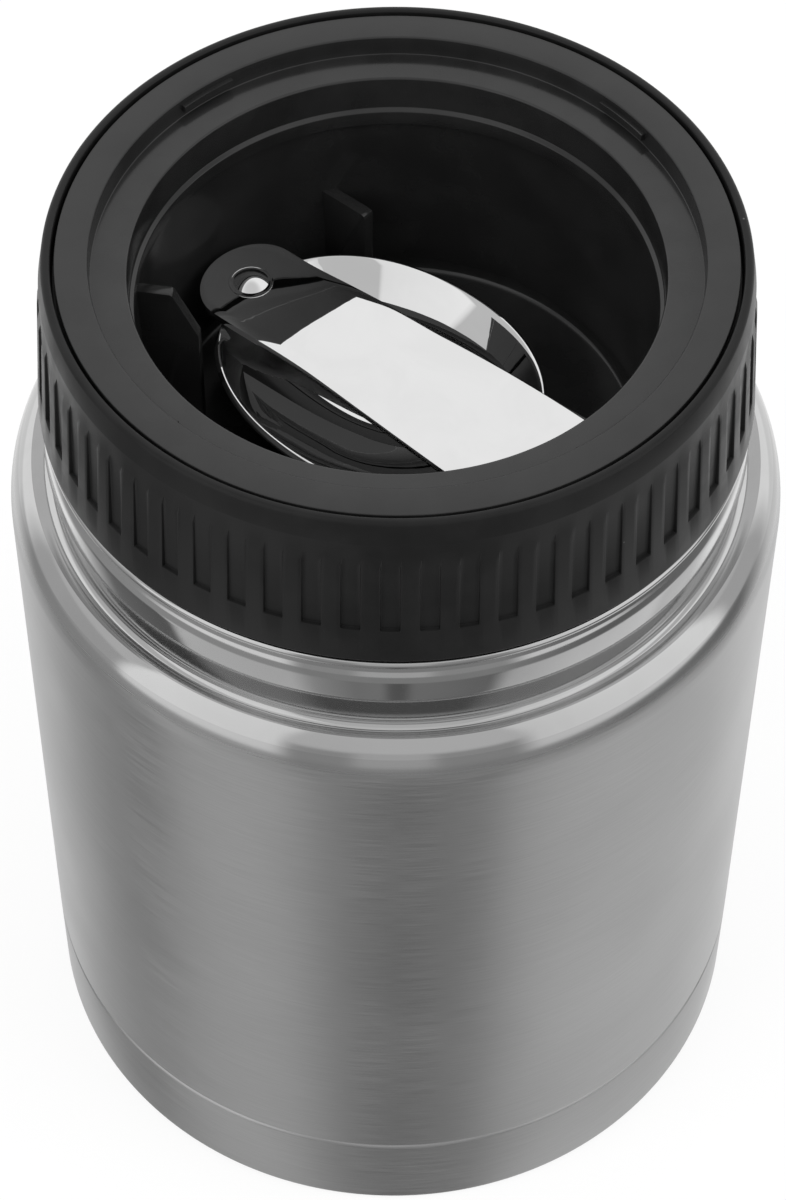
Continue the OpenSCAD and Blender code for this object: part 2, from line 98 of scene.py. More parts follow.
class JarSizes(PropertyGroup):
    """Sizes of the steel body, its base and its neck."""
    body_radius: length("Body radius", "Radius of the straight body",
                        node_radius("outer_shell"))
    body_top: length("Body top", "Height at which the shoulder begins", 0.103)
    shoulder_height: length("Shoulder", "Height of the rounded shoulder", 0.0074)
    neck_radius: length("Neck radius", "Radius of the visible neck", 0.0442)
    ring_proud: length("Ring proud", "How far the rings stand proud of the neck", 0.0007)
    lower_ring: length("Lower ring", "Height of the lower ring's underside", 0.1139)
    lower_ring_height: length("Lower ring height", "Height of the lower ring", 0.0032)
    upper_ring: length("Upper ring", "Height of the upper ring's underside", 0.1204)
    neck_top: length("Neck top", "Height of the upper ring's top", 0.1217)
    thread_radius: length("Thread radius", "Radius of the neck under its thread", 0.0414)
    shell_top: length("Shell top", "Height of the outer wall at the mouth",
                      node_top("outer_shell"))
    wall: length("Sheet", "Thickness of the steel sheet", 0.0006)
    seam: length("Seam", "Height of the seam between the body and the base cup",
                 node_top("base_cup"))
    seam_depth: length("Seam depth", "Depth of the seam line", 0.0003)
    seam_half: length("Seam half width", "Half the width of the seam line", 0.00035)
    foot_radius: length("Foot radius", "Radius of the base cup at the foot", 0.0499)
    foot_round: length("Foot rounding", "Radius of the rounded bottom edge", 0.0014)
    recess_radius: length("Recess radius", "Radius of the recess under the base", 0.042)
    recess_depth: length("Recess depth", "Depth of the recess under the base", 0.004)
    liner_radius: length("Liner radius", "Outer radius of the liner",
                         node_radius("inner_vessel"))
    liner_round: length("Liner rounding", "Radius of the liner's bottom corner", 0.009)
    mouth_radius: length("Mouth radius", "Inner radius of the mouth", 0.0398)


class LidSizes(PropertyGroup):
    """Sizes of the collar, the insert, the plug and the seal."""
    collar_bottom: length("Collar bottom", "Height of the collar's lower edge", 0.1222)
    collar_inner: length("Collar inside", "Inner radius of the collar", 0.0428)
    band_radius: length("Band radius", "Radius of the band and of the ribs",
                        node_radius("lid_collar"))
    shoulder_radius: length("Shoulder radius", "Radius of the edge above the ribs", 0.0436)
    shoulder_z: length("Shoulder height", "Height of the edge above the ribs", 0.1424)
    draft: length("Draft", "How much the collar narrows up to the shoulder", 0.00135)
    rib_proud: length("Rib proud", "How far the ribs stand proud of the grooves", 0.00055)
    rib_bottom: length("Rib bottom", "Height at which the ribs begin", 0.1278)
    rib_top: length("Rib top", "Height at which the ribs begin to slope in", 0.1386)
    rib_slope: length("Rib slope", "Height of the sloping top of a rib", 0.0014)
    rim_top: length("Rim top", "Height of the collar's rim", node_top("lid_collar"))
    rim_outer: length("Rim outside", "Outer radius of the rim", 0.04305)
    rim_inner: length("Rim inside", "Inner radius of the rim", 0.04195)
    flange_top: length("Flange top", "Height of the insert's flange",
                       node_top("lid_insert"))
    flange_radius: length("Flange radius", "Outer radius of the flange", 0.0415)
    step_radius: length("Step radius", "Radius of the step inside the flange", 0.0374)
    ledge: length("Ledge", "Height of the ledge round the compartment", 0.1426)
    cup_radius: length("Compartment radius", "Radius of the compartment at the ledge", 0.0328)
    cup_floor: length("Compartment floor", "Height of the compartment's floor", 0.1091)
    cup_floor_radius: length("Floor radius", "Radius of the compartment at its floor", 0.032)
    plastic: length("Plastic wall", "Thickness of the moulded walls", 0.0018)
    plug_radius: length("Plug radius", "Radius of the plug in the mouth", 0.0392)
    plug_bottom: length("Plug bottom", "Height of the plug's underside", 0.1017)
    seal_bottom: length("Seal bottom", "Height of the seal's underside", 0.1366)
    rib_count: IntProperty(name="Ribs", description="Number of grip ribs", default=60,
                           min=12, max=90)
    rib_turn: angle("Rib direction", "Direction of one groove between two ribs", 269)
    lug_turn: angle("Lug direction", "Direction of the first lug", -49.5)
    lug_sweep: angle("Lug length", "Length of a lug round the step", 12)


class SpoonSizes(PropertyGroup):
    """Sizes of the folding spoon."""
    turn: angle("Direction", "Direction from the rivet along the handle", -39.4)
    pivot_distance: length("Pivot distance", "Distance from the jar's axis to the rivet",
                           0.0249)
    pivot_side: length("Pivot offset", "Distance of the handle's axis from the jar's axis",
                       0.00065)
    bowl_skew: angle("Bowl turn", "Turn of the bowl against the handle", -1.4)
    bowl_rim: length("Bowl rim", "Height of the bowl's rim", node_top("spoon_bowl"))
    handle_top: length("Handle top", "Height of the handle's upper face",
                       node_top("spoon_handle"))
    sheet: length("Sheet", "Thickness of the spoon's steel", 0.001)
    bowl_half: length("Bowl half width", "Half the width of the bowl", 0.0174)
    bowl_depth: length("Bowl depth", "Depth of the bowl", 0.0102)
    bowl_middle: length("Bowl middle", "Distance from the rivet to the bowl's widest place",
                        0.0225)
    bowl_side: length("Bowl offset", "Distance of the bowl's middle from the handle's axis",
                      0.0004)
    bowl_front: length("Bowl front", "Length of the bowl from its widest place to its tip",
                       0.0212)
    bowl_back: length("Bowl back", "Length of the bowl behind its widest place", 0.023)
    dish_start: length("Dish start", "Distance from the rivet at which the bowl begins to dip",
                       0.0055)
    dish_run: length("Dish run", "Length over which the bowl reaches its depth", 0.005)
    bowl_curve: FloatProperty(name="Bowl curve", default=1.85, min=1.0, max=3.0,
                              description="2 is a parabola, and less has straighter sides")
    bowl_fullness: FloatProperty(name="Bowl fullness", default=2.13, min=1.6, max=4.0,
                                 description="2 is an ellipse, and more is squarer")
    plate_radius: length("Plate radius", "Radius of the bowl's round end at the rivet", 0.006)
    neck_half: length("Handle neck", "Half the width of the handle at the rivet", 0.0072)
    handle_length: length("Handle length", "Distance from the rivet to the handle's end",
                          0.0522)
    handle_half: length("Handle half width", "Half the width of the handle's end", 0.0092)
    handle_corner: length("Handle corner", "Radius of the corners of the handle's end", 0.004)
    handle_hollow: length("Handle hollow", "How far the handle's edges rise near the rivet",
                          0.00015)
    handle_rise: length("Handle bend", "How far the handle rises beyond the rivet", 0.0006)
    rivet_radius: length("Rivet radius", "Radius of the rivet's head",
                         (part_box("spoon_rivet")[1].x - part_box("spoon_rivet")[0].x) / 2)


class Finishes(PropertyGroup):
    """Colours of the finishes."""
    brushed_steel: colour("Brushed steel", "Colour of the brushed body", (0.55, 0.55, 0.55))
    neck_steel: colour("Neck steel", "Colour of the polished neck", (0.62, 0.62, 0.62))
    liner_steel: colour("Liner steel", "Colour of the liner", (0.6, 0.6, 0.59))
    spoon_steel: colour("Spoon steel", "Colour of the polished spoon", (0.78, 0.78, 0.78))
    # The handle's underside is darker than the spoon's steel: a painted shade, on top of its real
    # satin gloss
    spoon_back: colour("Handle back painted shade", "Colour of the handle's satin underside, darkened as a painted shade",
                       (0.25, 0.25, 0.25))
    insert_plastic: colour("Insert plastic", "Colour of the insert", (0.018, 0.018, 0.018))
    collar_plastic: colour("Collar plastic", "Colour of the collar", (0.011, 0.011, 0.011))
    plug_plastic: colour("Plug plastic", "Colour of the plug", (0.03, 0.03, 0.03))
    seal: colour("Seal", "Colour of the silicone seal", (0.72, 0.72, 0.7))
    foil: colour("Foil", "Colour of the radiation foil", (0.72, 0.42, 0.28))
    getter: colour("Getter", "Colour of the getter pellet", (0.3, 0.3, 0.32))
    bead: colour("Bead", "Colour of the solder glass bead", (0.12, 0.14, 0.13))
    foam: colour("Foam", "Colour of the insulation", (0.85, 0.82, 0.7))


class StudioSettings(PropertyGroup):
    """The floor, the light and the camera."""
    floor_colour: colour("Floor", "Colour of the floor", (0.85, 0.85, 0.85))
    shadow_share: share("Shadow", "How much of the floor's shading the camera sees", 0.2)
    floor_level: FloatProperty(name="Floor level", description="Level of the floor's own white",
                               default=1.05, min=0.0, soft_max=2.0)
    world_level: FloatProperty(name="World", description="Level of the light from above",
                               default=0.9, min=0.0, soft_max=2.0)
    horizon_level: FloatProperty(name="Horizon", description="Level of the light from the sides",
                                 default=0.2, min=0.0, soft_max=2.0)
    lamp_power: FloatProperty(name="Lamps", description="Power of each side lamp",
                              default=3.5, min=0.0, soft_max=100.0, unit="POWER")
    lens: FloatProperty(name="Lens", description="Focal length for a 36 mm sensor",
                        default=105.33, min=1.0, unit="CAMERA")


GROUPS = {"food_jar_body": JarSizes, "food_jar_lid": LidSizes, "food_jar_spoon": SpoonSizes,
          "food_jar_finishes": Finishes, "food_jar_studio": StudioSettings}


def in_mm(group):
    """The lengths of a property group in millimetres, and its other values as they are."""
    values = {}
    for prop in group.bl_rna.properties:
        if prop.identifier not in ("rna_type", "name"):
            value = getattr(group, prop.identifier)
            values[prop.identifier] = value / MM if prop.unit == "LENGTH" else value
    return SimpleNamespace(**values)


# Modelling


def deselect_all():
    if bpy.context.object and bpy.context.object.mode != "OBJECT":
        bpy.ops.object.mode_set(mode="OBJECT")
    bpy.ops.object.select_all(action="DESELECT")


def activate(*pieces):
    """Selects these objects alone; the first is the active one."""
    deselect_all()
    for piece in pieces:
        piece.select_set(True)
    bpy.context.view_layer.objects.active = pieces[0]


def name_piece(name):
    piece = bpy.context.object
    piece.name = piece.data.name = name
    return piece


def pick(piece, kind, test):
    """In edit mode, selects only the vertices, edges or faces that pass the test."""
    shape = bmesh.from_edit_mesh(piece.data)
    bpy.ops.mesh.select_all(action="DESELECT")
    bpy.ops.mesh.select_mode(type={"verts": "VERT", "edges": "EDGE", "faces": "FACE"}[kind])
    for element in getattr(shape, kind):
        element.select_set(bool(test(element)))
    if kind == "verts":
        shape.select_flush_mode()
    bmesh.update_edit_mesh(piece.data)


def draw(name, corners, closed=True):
    """Draws a profile in the XZ plane by extruding one vertex from corner to corner.

    A corner is (x, z) or (x, z, rounding), in millimetres. The piece stays in edit mode.
    """
    deselect_all()
    bpy.ops.mesh.primitive_plane_add(size=MM)
    piece = name_piece(name)
    bpy.ops.object.mode_set(mode="EDIT")
    bpy.ops.mesh.select_mode(type="VERT")
    bpy.ops.mesh.select_all(action="SELECT")
    bpy.ops.mesh.merge(type="CENTER")
    bpy.ops.transform.translate(value=(corners[0][0] * MM, 0, corners[0][1] * MM))
    for last, corner in zip(corners, corners[1:]):
        step = ((corner[0] - last[0]) * MM, 0, (corner[1] - last[1]) * MM)
        bpy.ops.mesh.extrude_vertices_move(TRANSFORM_OT_translate={"value": step})
    if closed:
        pick(piece, "verts", lambda vertex: len(vertex.link_edges) == 1)
        bpy.ops.mesh.edge_face_add()
    for rounding in sorted({corner[2] for corner in corners if len(corner) > 2}):
        places = [corner[:2] for corner in corners if len(corner) > 2 and corner[2] == rounding]
        pick(piece, "verts", lambda vertex: any(
            math.dist((vertex.co.x / MM, vertex.co.z / MM), place) < MM for place in places))
        bpy.ops.mesh.bevel(offset_type="OFFSET", offset=rounding * MM, segments=ROUND_STEPS,
                           affect="VERTICES")
    return piece


def orient():
    """In edit mode, turns all faces outwards."""
    bpy.ops.mesh.select_all(action="SELECT")
    bpy.ops.mesh.normals_make_consistent(inside=False)


def merge_and_orient():
    """In edit mode, merges the vertices that share a place and turns all faces outwards."""
    bpy.ops.mesh.select_mode(type="VERT")
    bpy.ops.mesh.select_all(action="SELECT")
    bpy.ops.mesh.remove_doubles(threshold=0.002 * MM)
    orient()


def resize_round(factor):
    """In edit mode, scales the selection towards or away from the jar's axis."""
    bpy.ops.transform.resize(value=(factor, factor, 1), center_override=(0, 0, 0))


def centre_of(face):
    """The middle of an edit-mode face, in millimetres."""
    return face.calc_center_median() / MM


def face_up(piece):
    """Turns an open sheet's faces upwards."""
    if sum(face.normal.z for face in piece.data.polygons) < 0:
        activate(piece)
        bpy.ops.object.mode_set(mode="EDIT")
        bpy.ops.mesh.select_all(action="SELECT")
        bpy.ops.mesh.flip_normals()
        leave_edit()


def turn_on_axis(name, corners, steps, closed=True):
    """A lathe: draws a profile and spins it round the jar's axis. It stays in edit mode."""
    piece = draw(name, corners, closed)
    bpy.ops.mesh.select_all(action="SELECT")
    bpy.ops.mesh.spin(steps=steps, angle=2 * math.pi, center=(0, 0, 0), axis=(0, 0, 1))
    merge_and_orient()
    return piece


def arc(x, z, rx, rz, start, end, steps=12):
    """Points of an elliptical arc round (x, z), from one angle to another, in degrees."""
    turns = [math.radians(start + (end - start) * i / steps) for i in range(steps + 1)]
    return [(x + rx * math.cos(turn), z + rz * math.sin(turn)) for turn in turns]


def smooth(x):
    """A smooth rise from 0 to 1 as x goes from 0 to 1."""
    x = min(1.0, max(0.0, x))
    return x * x * (3 - 2 * x)


def leave_edit():
    if bpy.context.object.mode != "OBJECT":
        bpy.ops.object.mode_set(mode="OBJECT")


def modify(piece, kind, **settings):
    """Adds a modifier to the piece and applies it."""
    leave_edit()
    activate(piece)
    modifier = piece.modifiers.new(kind.title(), kind)
    for key, value in settings.items():
        setattr(modifier, key, value)
    bpy.ops.object.modifier_apply(modifier=modifier.name)


def soften_edges(piece, width, segments, degrees):
    """Bevels the edges that bend by more than this angle; the width is in millimetres."""
    modify(piece, "BEVEL", width=width * MM, segments=segments, limit_method="ANGLE",
           angle_limit=math.radians(degrees))


def mould(piece, rule):
    """Moves every vertex to rule(x, y, z), in millimetres."""
    leave_edit()
    for vertex in piece.data.vertices:
        vertex.co = Vector(rule(*(vertex.co / MM))) * MM


def join(piece, *others):
    """Joins other meshes into the piece."""
    leave_edit()
    activate(piece, *others)
    bpy.ops.object.join()


def turn_piece(piece, radians, offset=(0, 0, 0)):
    """Moves a piece's mesh by offset, in millimetres, and then turns it round Z."""
    leave_edit()
    activate(piece)
    piece.data.transform(Matrix.Rotation(radians, 4, "Z") @ Matrix.Translation(
        Vector(offset) * MM))


def complete(piece, body, slot, nodes, *finishes):
    """Shades a piece, gives it its finishes and its body, and hides the CAD nodes it stands for."""
    leave_edit()
    activate(piece)
    bpy.ops.object.shade_smooth_by_angle(angle=SMOOTH_ANGLE)
    for finish in finishes:
        piece.data.materials.append(FINISHES[finish])
    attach(piece, body)
    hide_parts(*nodes)


def thread(name, foot, crest, start, from_degrees):
    """The jar's screw thread, a ridge that fades out at both ends.

    It goes from radius foot to radius crest and begins at height start, in millimetres.
    """
    lead, sweep, degrees_a_step, fade_steps = 6.0, 450, 3, 8
    foot_half, crest_half = 1.1, 0.5
    bend, spread_out, drawn_in = 0.25, 0.12, 0.15
    steps = round(sweep / degrees_a_step)
    edge = crest + (bend if crest < foot else -bend)
    corners = [(foot, start - foot_half), (edge, start - crest_half - spread_out),
               (crest, start - crest_half + drawn_in), (crest, start + crest_half - drawn_in),
               (edge, start + crest_half + spread_out), (foot, start + foot_half)]
    ridge = draw(name, corners)
    modify(ridge, "SCREW", angle=math.radians(sweep), screw_offset=lead * sweep / 360 * MM,
           steps=steps, render_steps=steps, use_merge_vertices=False)
    count = len(corners)
    for index, vertex in enumerate(ridge.data.vertices):
        ring = index // count
        keep = max(0.05, smooth(min(ring, steps - ring) / fade_steps))
        radius = math.hypot(vertex.co.x, vertex.co.y)
        wanted = (foot + (radius / MM - foot) * keep) * MM
        vertex.co.x *= wanted / radius
        vertex.co.y *= wanted / radius
    turn_piece(ridge, math.radians(from_degrees))
    bpy.ops.object.mode_set(mode="EDIT")
    pick(ridge, "edges", lambda each: len(each.link_faces) < 2)
    bpy.ops.mesh.fill_holes(sides=0)
    merge_and_orient()
    leave_edit()
    return ridge


# Shaders and finishes

FINISHES = {}    # the materials by name, which the first operator fills


def add_node(tree, kind, settings=None, **sockets):
    """Adds a node; sockets are given by their names, as a value or as another node's output."""
    made = tree.nodes.new(kind)
    made.location = (len(tree.nodes) * 180 % 1800, -(len(tree.nodes) // 10) * 260)
    for key, value in (settings or {}).items():
        setattr(made, key, value)
    for key, value in sockets.items():
        set_socket(tree, made, key.replace("_", " "), value)
    return made


def set_socket(tree, made, key, value):
    """Sets an input, named or as #number, to a value or links another node's output to it."""
    socket = made.inputs[int(key[1:])] if key[0] == "#" else made.inputs[key]
    if isinstance(value, bpy.types.NodeSocket):
        tree.links.new(value, socket)
    else:
        socket.default_value = value


def maths(tree, operation, *values):
    made = add_node(tree, "ShaderNodeMath", {"operation": operation})
    for index, value in enumerate(values):
        set_socket(tree, made, f"#{index}", value)
    return made.outputs[0]


def vector_maths(tree, operation, *values):
    made = add_node(tree, "ShaderNodeVectorMath", {"operation": operation})
    for index, value in enumerate(values):
        set_socket(tree, made, f"#{index}", value)
    return made.outputs["Value" if operation == "LENGTH" else "Vector"]


def ramp(tree, value, low, high, to_low=0.0, to_high=1.0, kind="SMOOTHSTEP"):
    """A value mapped from low..high to to_low..to_high."""
    made = add_node(tree, "ShaderNodeMapRange", {"interpolation_type": kind}, Value=value)
    for key, number in (("From Min", low), ("From Max", high), ("To Min", to_low),
                        ("To Max", to_high)):
        set_socket(tree, made, key, number)
    return made.outputs["Result"]


def spread(tree, grain, to_low=0.0, to_high=1.0):
    """A noise, whose usual values of 0.3 to 0.7 are spread over to_low..to_high."""
    return ramp(tree, grain, 0.3, 0.7, to_low, to_high)


def grey(level):
    return (level, level, level, 1)


def blend_colours(tree, factor, first, second):
    made = add_node(tree, "ShaderNodeMix", {"data_type": "RGBA"})
    for key, value in ((0, factor), (6, first), (7, second)):
        set_socket(tree, made, f"#{key}", value)
    return made.outputs[2]


def new_group(name, inputs, outputs):
    """A shader node group with float inputs {name: default} and float outputs."""
    group = bpy.data.node_groups.new(name, "ShaderNodeTree")
    for label, default in inputs.items():
        socket = group.interface.new_socket(name=label, in_out="INPUT",
                                            socket_type="NodeSocketFloat")
        socket.default_value = default
    for label in outputs:
        group.interface.new_socket(name=label, in_out="OUTPUT", socket_type="NodeSocketFloat")
    enter = group.nodes.new("NodeGroupInput").outputs
    leave = group.nodes.new("NodeGroupOutput").inputs
    return group, enter, leave


def use_group(tree, name, **values):
    made = add_node(tree, "ShaderNodeGroup", {"node_tree": bpy.data.node_groups[name]})
    for key, value in values.items():
        set_socket(tree, made, key.replace("_", " "), value)
    return made.outputs


def noise(tree, vector, scale, detail=2.0, roughness=0.5, distortion=0.0, w=None):
    made = add_node(tree, "ShaderNodeTexNoise",
                    {"noise_dimensions": "3D" if w is None else "4D"}, Vector=vector,
                    Scale=scale, Detail=detail, Roughness=roughness, Distortion=distortion)
    if w is not None:
        set_socket(tree, made, "W", w)
    return made.outputs["Fac"]


def object_point(tree):
    return add_node(tree, "ShaderNodeTexCoord").outputs["Object"]


def build_round_brushing():
    """Fine lines round the jar's axis, as a lathe and an abrasive belt leave them."""
    group, enter, leave = new_group("Round brushing", {"Fineness": 6500.0, "Turns": 7.0},
                                    ["Lines", "Patches"])
    point = object_point(group)
    flat = vector_maths(group, "MULTIPLY", point, (1, 1, 0))
    radius = vector_maths(group, "LENGTH", flat)
    around = vector_maths(group, "NORMALIZE", flat)
    split = add_node(group, "ShaderNodeSeparateXYZ", Vector=around).outputs
    height = add_node(group, "ShaderNodeSeparateXYZ", Vector=point).outputs["Z"]
    place = add_node(group, "ShaderNodeCombineXYZ",
                     X=maths(group, "MULTIPLY", split["X"], enter["Turns"]),
                     Y=maths(group, "MULTIPLY", split["Y"], enter["Turns"]),
                     Z=maths(group, "MULTIPLY", height, enter["Fineness"])).outputs[0]
    depth = maths(group, "MULTIPLY", radius, enter["Fineness"])
    lines = noise(group, place, scale=1.0, detail=3.0, roughness=0.6, w=depth)
    group.links.new(lines, leave["Lines"])
    patches = noise(group, point, scale=38.0)
    group.links.new(patches, leave["Patches"])


def build_polish_marks():
    """Faint rub marks and thin scratches of polished metal."""
    group, enter, leave = new_group("Polish marks", {"Scale": 600.0, "Stretch": 18.0},
                                    ["Scratches", "Smears"])
    point = object_point(group)
    found = None
    for degrees in (20, 75, -40):
        turned = add_node(group, "ShaderNodeVectorRotate", {"rotation_type": "Z_AXIS"},
                          Vector=point, Angle=math.radians(degrees)).outputs[0]
        split = add_node(group, "ShaderNodeSeparateXYZ", Vector=turned).outputs
        place = add_node(group, "ShaderNodeCombineXYZ", X=split["X"],
                         Y=maths(group, "MULTIPLY", split["Y"], enter["Stretch"]),
                         Z=split["Z"]).outputs[0]
        lines = ramp(group, noise(group, place, enter["Scale"], detail=1.0), 0.66, 0.74)
        found = lines if found is None else maths(group, "MAXIMUM", found, lines)
    group.links.new(found, leave["Scratches"])
    smears = noise(group, point, scale=120.0, detail=3.0, roughness=0.6, distortion=0.6)
    group.links.new(smears, leave["Smears"])


def build_moulded_skin():
    """The fine texture of a moulded plastic skin, its uneven gloss and a few specks of dust."""
    group, enter, leave = new_group("Moulded skin", {"Scale": 5200.0, "Dust": 0.3},
                                    ["Texture", "Mottle", "Specks"])
    point = object_point(group)
    group.links.new(noise(group, point, enter["Scale"], roughness=0.6), leave["Texture"])
    group.links.new(noise(group, point, 150.0, detail=3.0, roughness=0.6), leave["Mottle"])
    cells = add_node(group, "ShaderNodeTexVoronoi", {"feature": "F1"}, Vector=point,
                     Scale=260.0, Randomness=1.0)
    dots = ramp(group, cells.outputs["Distance"], 0.03, 0.055, 1.0, 0.0)
    chance = add_node(group, "ShaderNodeSeparateColor", Color=cells.outputs["Color"])
    rare = ramp(group, chance.outputs["Red"], 0.93, 0.96)
    specks = maths(group, "MULTIPLY", maths(group, "MULTIPLY", dots, rare), enter["Dust"])
    group.links.new(specks, leave["Specks"])


def new_material(name, colour_value, **values):
    """A material with constants on its Principled BSDF, and its tree and shader to wire."""
    material = bpy.data.materials.new(name)
    material.use_nodes = True
    material.diffuse_color = (*colour_value, 1)
    tree = material.node_tree
    shader = tree.nodes["Principled BSDF"]
    shader.inputs["Base Color"].default_value = (*colour_value, 1)
    for key, value in values.items():
        set_socket(tree, shader, key.replace("_", " "), value)
    return material, tree, shader


def bump(tree, shader, height, depth):
    """Relief from a height of 0 to 1; the depth is in millimetres."""
    made = add_node(tree, "ShaderNodeBump", Height=height, Distance=depth * MM)
    tree.links.new(made.outputs["Normal"], shader.inputs["Normal"])


def tint(tree, shader, factor, dark, light):
    """Base colour between two shades of grey, times the material's own colour."""
    own = shader.inputs["Base Color"].default_value[:3]
    low, high = [tuple(min(1.0, part * level) for part in own) + (1,) for level in (dark, light)]
    mixed = blend_colours(tree, factor, low, high)
    tree.links.new(mixed, shader.inputs["Base Color"])
    return mixed


def height_of(tree):
    return add_node(tree, "ShaderNodeSeparateXYZ", Vector=object_point(tree)).outputs["Z"]


def brushed_steel(name, colour_value, roughness, anisotropy, fineness, polished_at=None):
    """Steel with lines round the jar, which can fade out towards a height in millimetres."""
    material, tree, shader = new_material(
        name, colour_value, Metallic=1.0, Anisotropic=anisotropy, Anisotropic_Rotation=0.25)
    grain = use_group(tree, "Round brushing", Fineness=fineness)
    lines = spread(tree, grain["Lines"], -0.05, 0.05)
    patches = spread(tree, grain["Patches"], roughness - 0.03, roughness + 0.03)
    rough, shade = maths(tree, "ADD", lines, patches), spread(tree, grain["Lines"])
    height = grain["Lines"]
    if polished_at is not None:
        fade, polished_roughness = 3.5, 0.12
        brushed = ramp(tree, height_of(tree), (polished_at - fade) * MM, polished_at * MM, 1.0,
                       0.0)
        rough = ramp(tree, brushed, 0.0, 1.0, polished_roughness, rough, kind="LINEAR")
        shade = ramp(tree, brushed, 0.0, 1.0, 0.5, shade, kind="LINEAR")
        height = maths(tree, "MULTIPLY", height, brushed)
    tint(tree, shader, shade, 0.93, 1.07)
    tree.links.new(rough, shader.inputs["Roughness"])
    bump(tree, shader, height, 0.004)
    return material


def polished_steel(name, colour_value, roughness, scratch):
    """Mirror steel with faint smears; scratch is how much rougher its scratches are."""
    material, tree, shader = new_material(name, colour_value, Metallic=1.0)
    marks = use_group(tree, "Polish marks")
    tint(tree, shader, ramp(tree, marks["Smears"], 0.35, 0.7), 1.0, 0.97)
    smears = ramp(tree, marks["Smears"], 0.35, 0.75, roughness, roughness * 1.8)
    scratches = maths(tree, "MULTIPLY", marks["Scratches"], scratch)
    tree.links.new(maths(tree, "ADD", smears, scratches), shader.inputs["Roughness"])
    bump(tree, shader, marks["Smears"], 0.004)
    return material


def moulded_plastic(name, colour_value, roughness, dust=0.3, shine=0.5, satin_above=None):
    """Black plastic, which can have a satin skin above a height in millimetres."""
    material, tree, shader = new_material(name, colour_value, Specular_IOR_Level=shine)
    skin = use_group(tree, "Moulded skin", Dust=dust)
    tinted = tint(tree, shader, spread(tree, skin["Mottle"]), 0.85, 1.15)
    dusty = blend_colours(tree, skin["Specks"], tinted, grey(0.5))
    tree.links.new(dusty, shader.inputs["Base Color"])
    uneven = spread(tree, skin["Mottle"], roughness * 0.85, roughness * 1.15)
    texture = skin["Texture"]
    if satin_above is not None:
        satin, fade = 0.42, 0.25
        top = ramp(tree, height_of(tree), (satin_above - fade) * MM, satin_above * MM)
        uneven = maths(tree, "ADD", uneven, maths(tree, "MULTIPLY", top, satin - roughness))
        texture = maths(tree, "MULTIPLY", texture, ramp(tree, top, 0.0, 1.0, 0.15, 1.0))
    tree.links.new(uneven, shader.inputs["Roughness"])
    bump(tree, shader, texture, 0.006)
    return material


def soft_finish(name, colour_value, roughness, depth, scale):
    """Silicone, foam or powder: an uneven, fine-grained surface."""
    material, tree, shader = new_material(name, colour_value)
    grain = use_group(tree, "Moulded skin", Scale=scale, Dust=0.0)
    tint(tree, shader, spread(tree, grain["Mottle"]), 0.92, 1.04)
    rough = spread(tree, grain["Texture"], roughness * 0.9, min(1.0, roughness * 1.1))
    tree.links.new(rough, shader.inputs["Roughness"])
    bump(tree, shader, grain["Texture"], depth)
    return material


def uneven_finish(name, colour_value, metallic, shades, roughness, depth, scale, detail=2.0,
                  grain_roughness=0.5, distortion=0.0):
    """Creased foil or bubbly glass: its shade, gloss and relief follow one noise."""
    material, tree, shader = new_material(name, colour_value, Metallic=metallic)
    found = noise(tree, object_point(tree), scale, detail, grain_roughness, distortion)
    tint(tree, shader, spread(tree, found), *shades)
    tree.links.new(spread(tree, found, *roughness), shader.inputs["Roughness"])
    bump(tree, shader, found, depth)
    return material


def make_finishes(colours, jar):
    """All the materials of the jar, by name."""
    build_round_brushing()
    build_polish_marks()
    build_moulded_skin()
    polished_at = jar.body_top + jar.shoulder_height - POLISH_DEPTH
    return {
        "body": brushed_steel("Brushed steel", colours.brushed_steel, roughness=0.4,
                              anisotropy=0.6, fineness=6500.0, polished_at=polished_at),
        "neck": polished_steel("Neck steel", colours.neck_steel, roughness=0.07, scratch=0.05),
        "liner": brushed_steel("Liner steel", colours.liner_steel, roughness=0.24,
                               anisotropy=0.3, fineness=1400.0),
        "spoon": polished_steel("Spoon steel", colours.spoon_steel, roughness=0.002,
                                scratch=0.0),
        # The handle's underside: a real satin roughness, and a darker colour that is painted shade
        # under the handle
        "spoon_back": polished_steel("Spoon back", colours.spoon_back, roughness=0.45,
                                     scratch=0.05),
        "insert": moulded_plastic("Insert plastic", colours.insert_plastic, roughness=0.16,
                                  satin_above=node_top("lid_insert") / MM - 0.05),
        "collar": moulded_plastic("Collar plastic", colours.collar_plastic, roughness=0.38,
                                  shine=0.22),
        "plug": moulded_plastic("Plug plastic", colours.plug_plastic, roughness=0.4, dust=0.0),
        "seal": soft_finish("Silicone", colours.seal, roughness=0.45, depth=0.02, scale=900.0),
        "foam": soft_finish("Foam", colours.foam, roughness=0.9, depth=0.25, scale=1500.0),
        "getter": soft_finish("Getter powder", colours.getter, roughness=0.85, depth=0.1,
                              scale=4000.0),
        "foil": uneven_finish("Copper foil", colours.foil, metallic=1.0, shades=(0.9, 1.1),
                              roughness=(0.15, 0.3), depth=0.2, scale=240.0, detail=4.0,
                              grain_roughness=0.65, distortion=1.2),
        "bead": uneven_finish("Solder glass", colours.bead, metallic=0.0, shades=(0.8, 1.2),
                              roughness=(0.1, 0.25), depth=0.02, scale=2600.0),
    }


# Operators


class FOODJAR_OT_finishes(Operator):
    """Makes the node groups and the materials of every piece"""
    bl_idname = "foodjar.finishes"
    bl_label = "Finishes"

    def execute(self, context):
        jar = in_mm(context.scene.food_jar_body)
        FINISHES.update(make_finishes(context.scene.food_jar_finishes, jar))
        return {"FINISHED"}


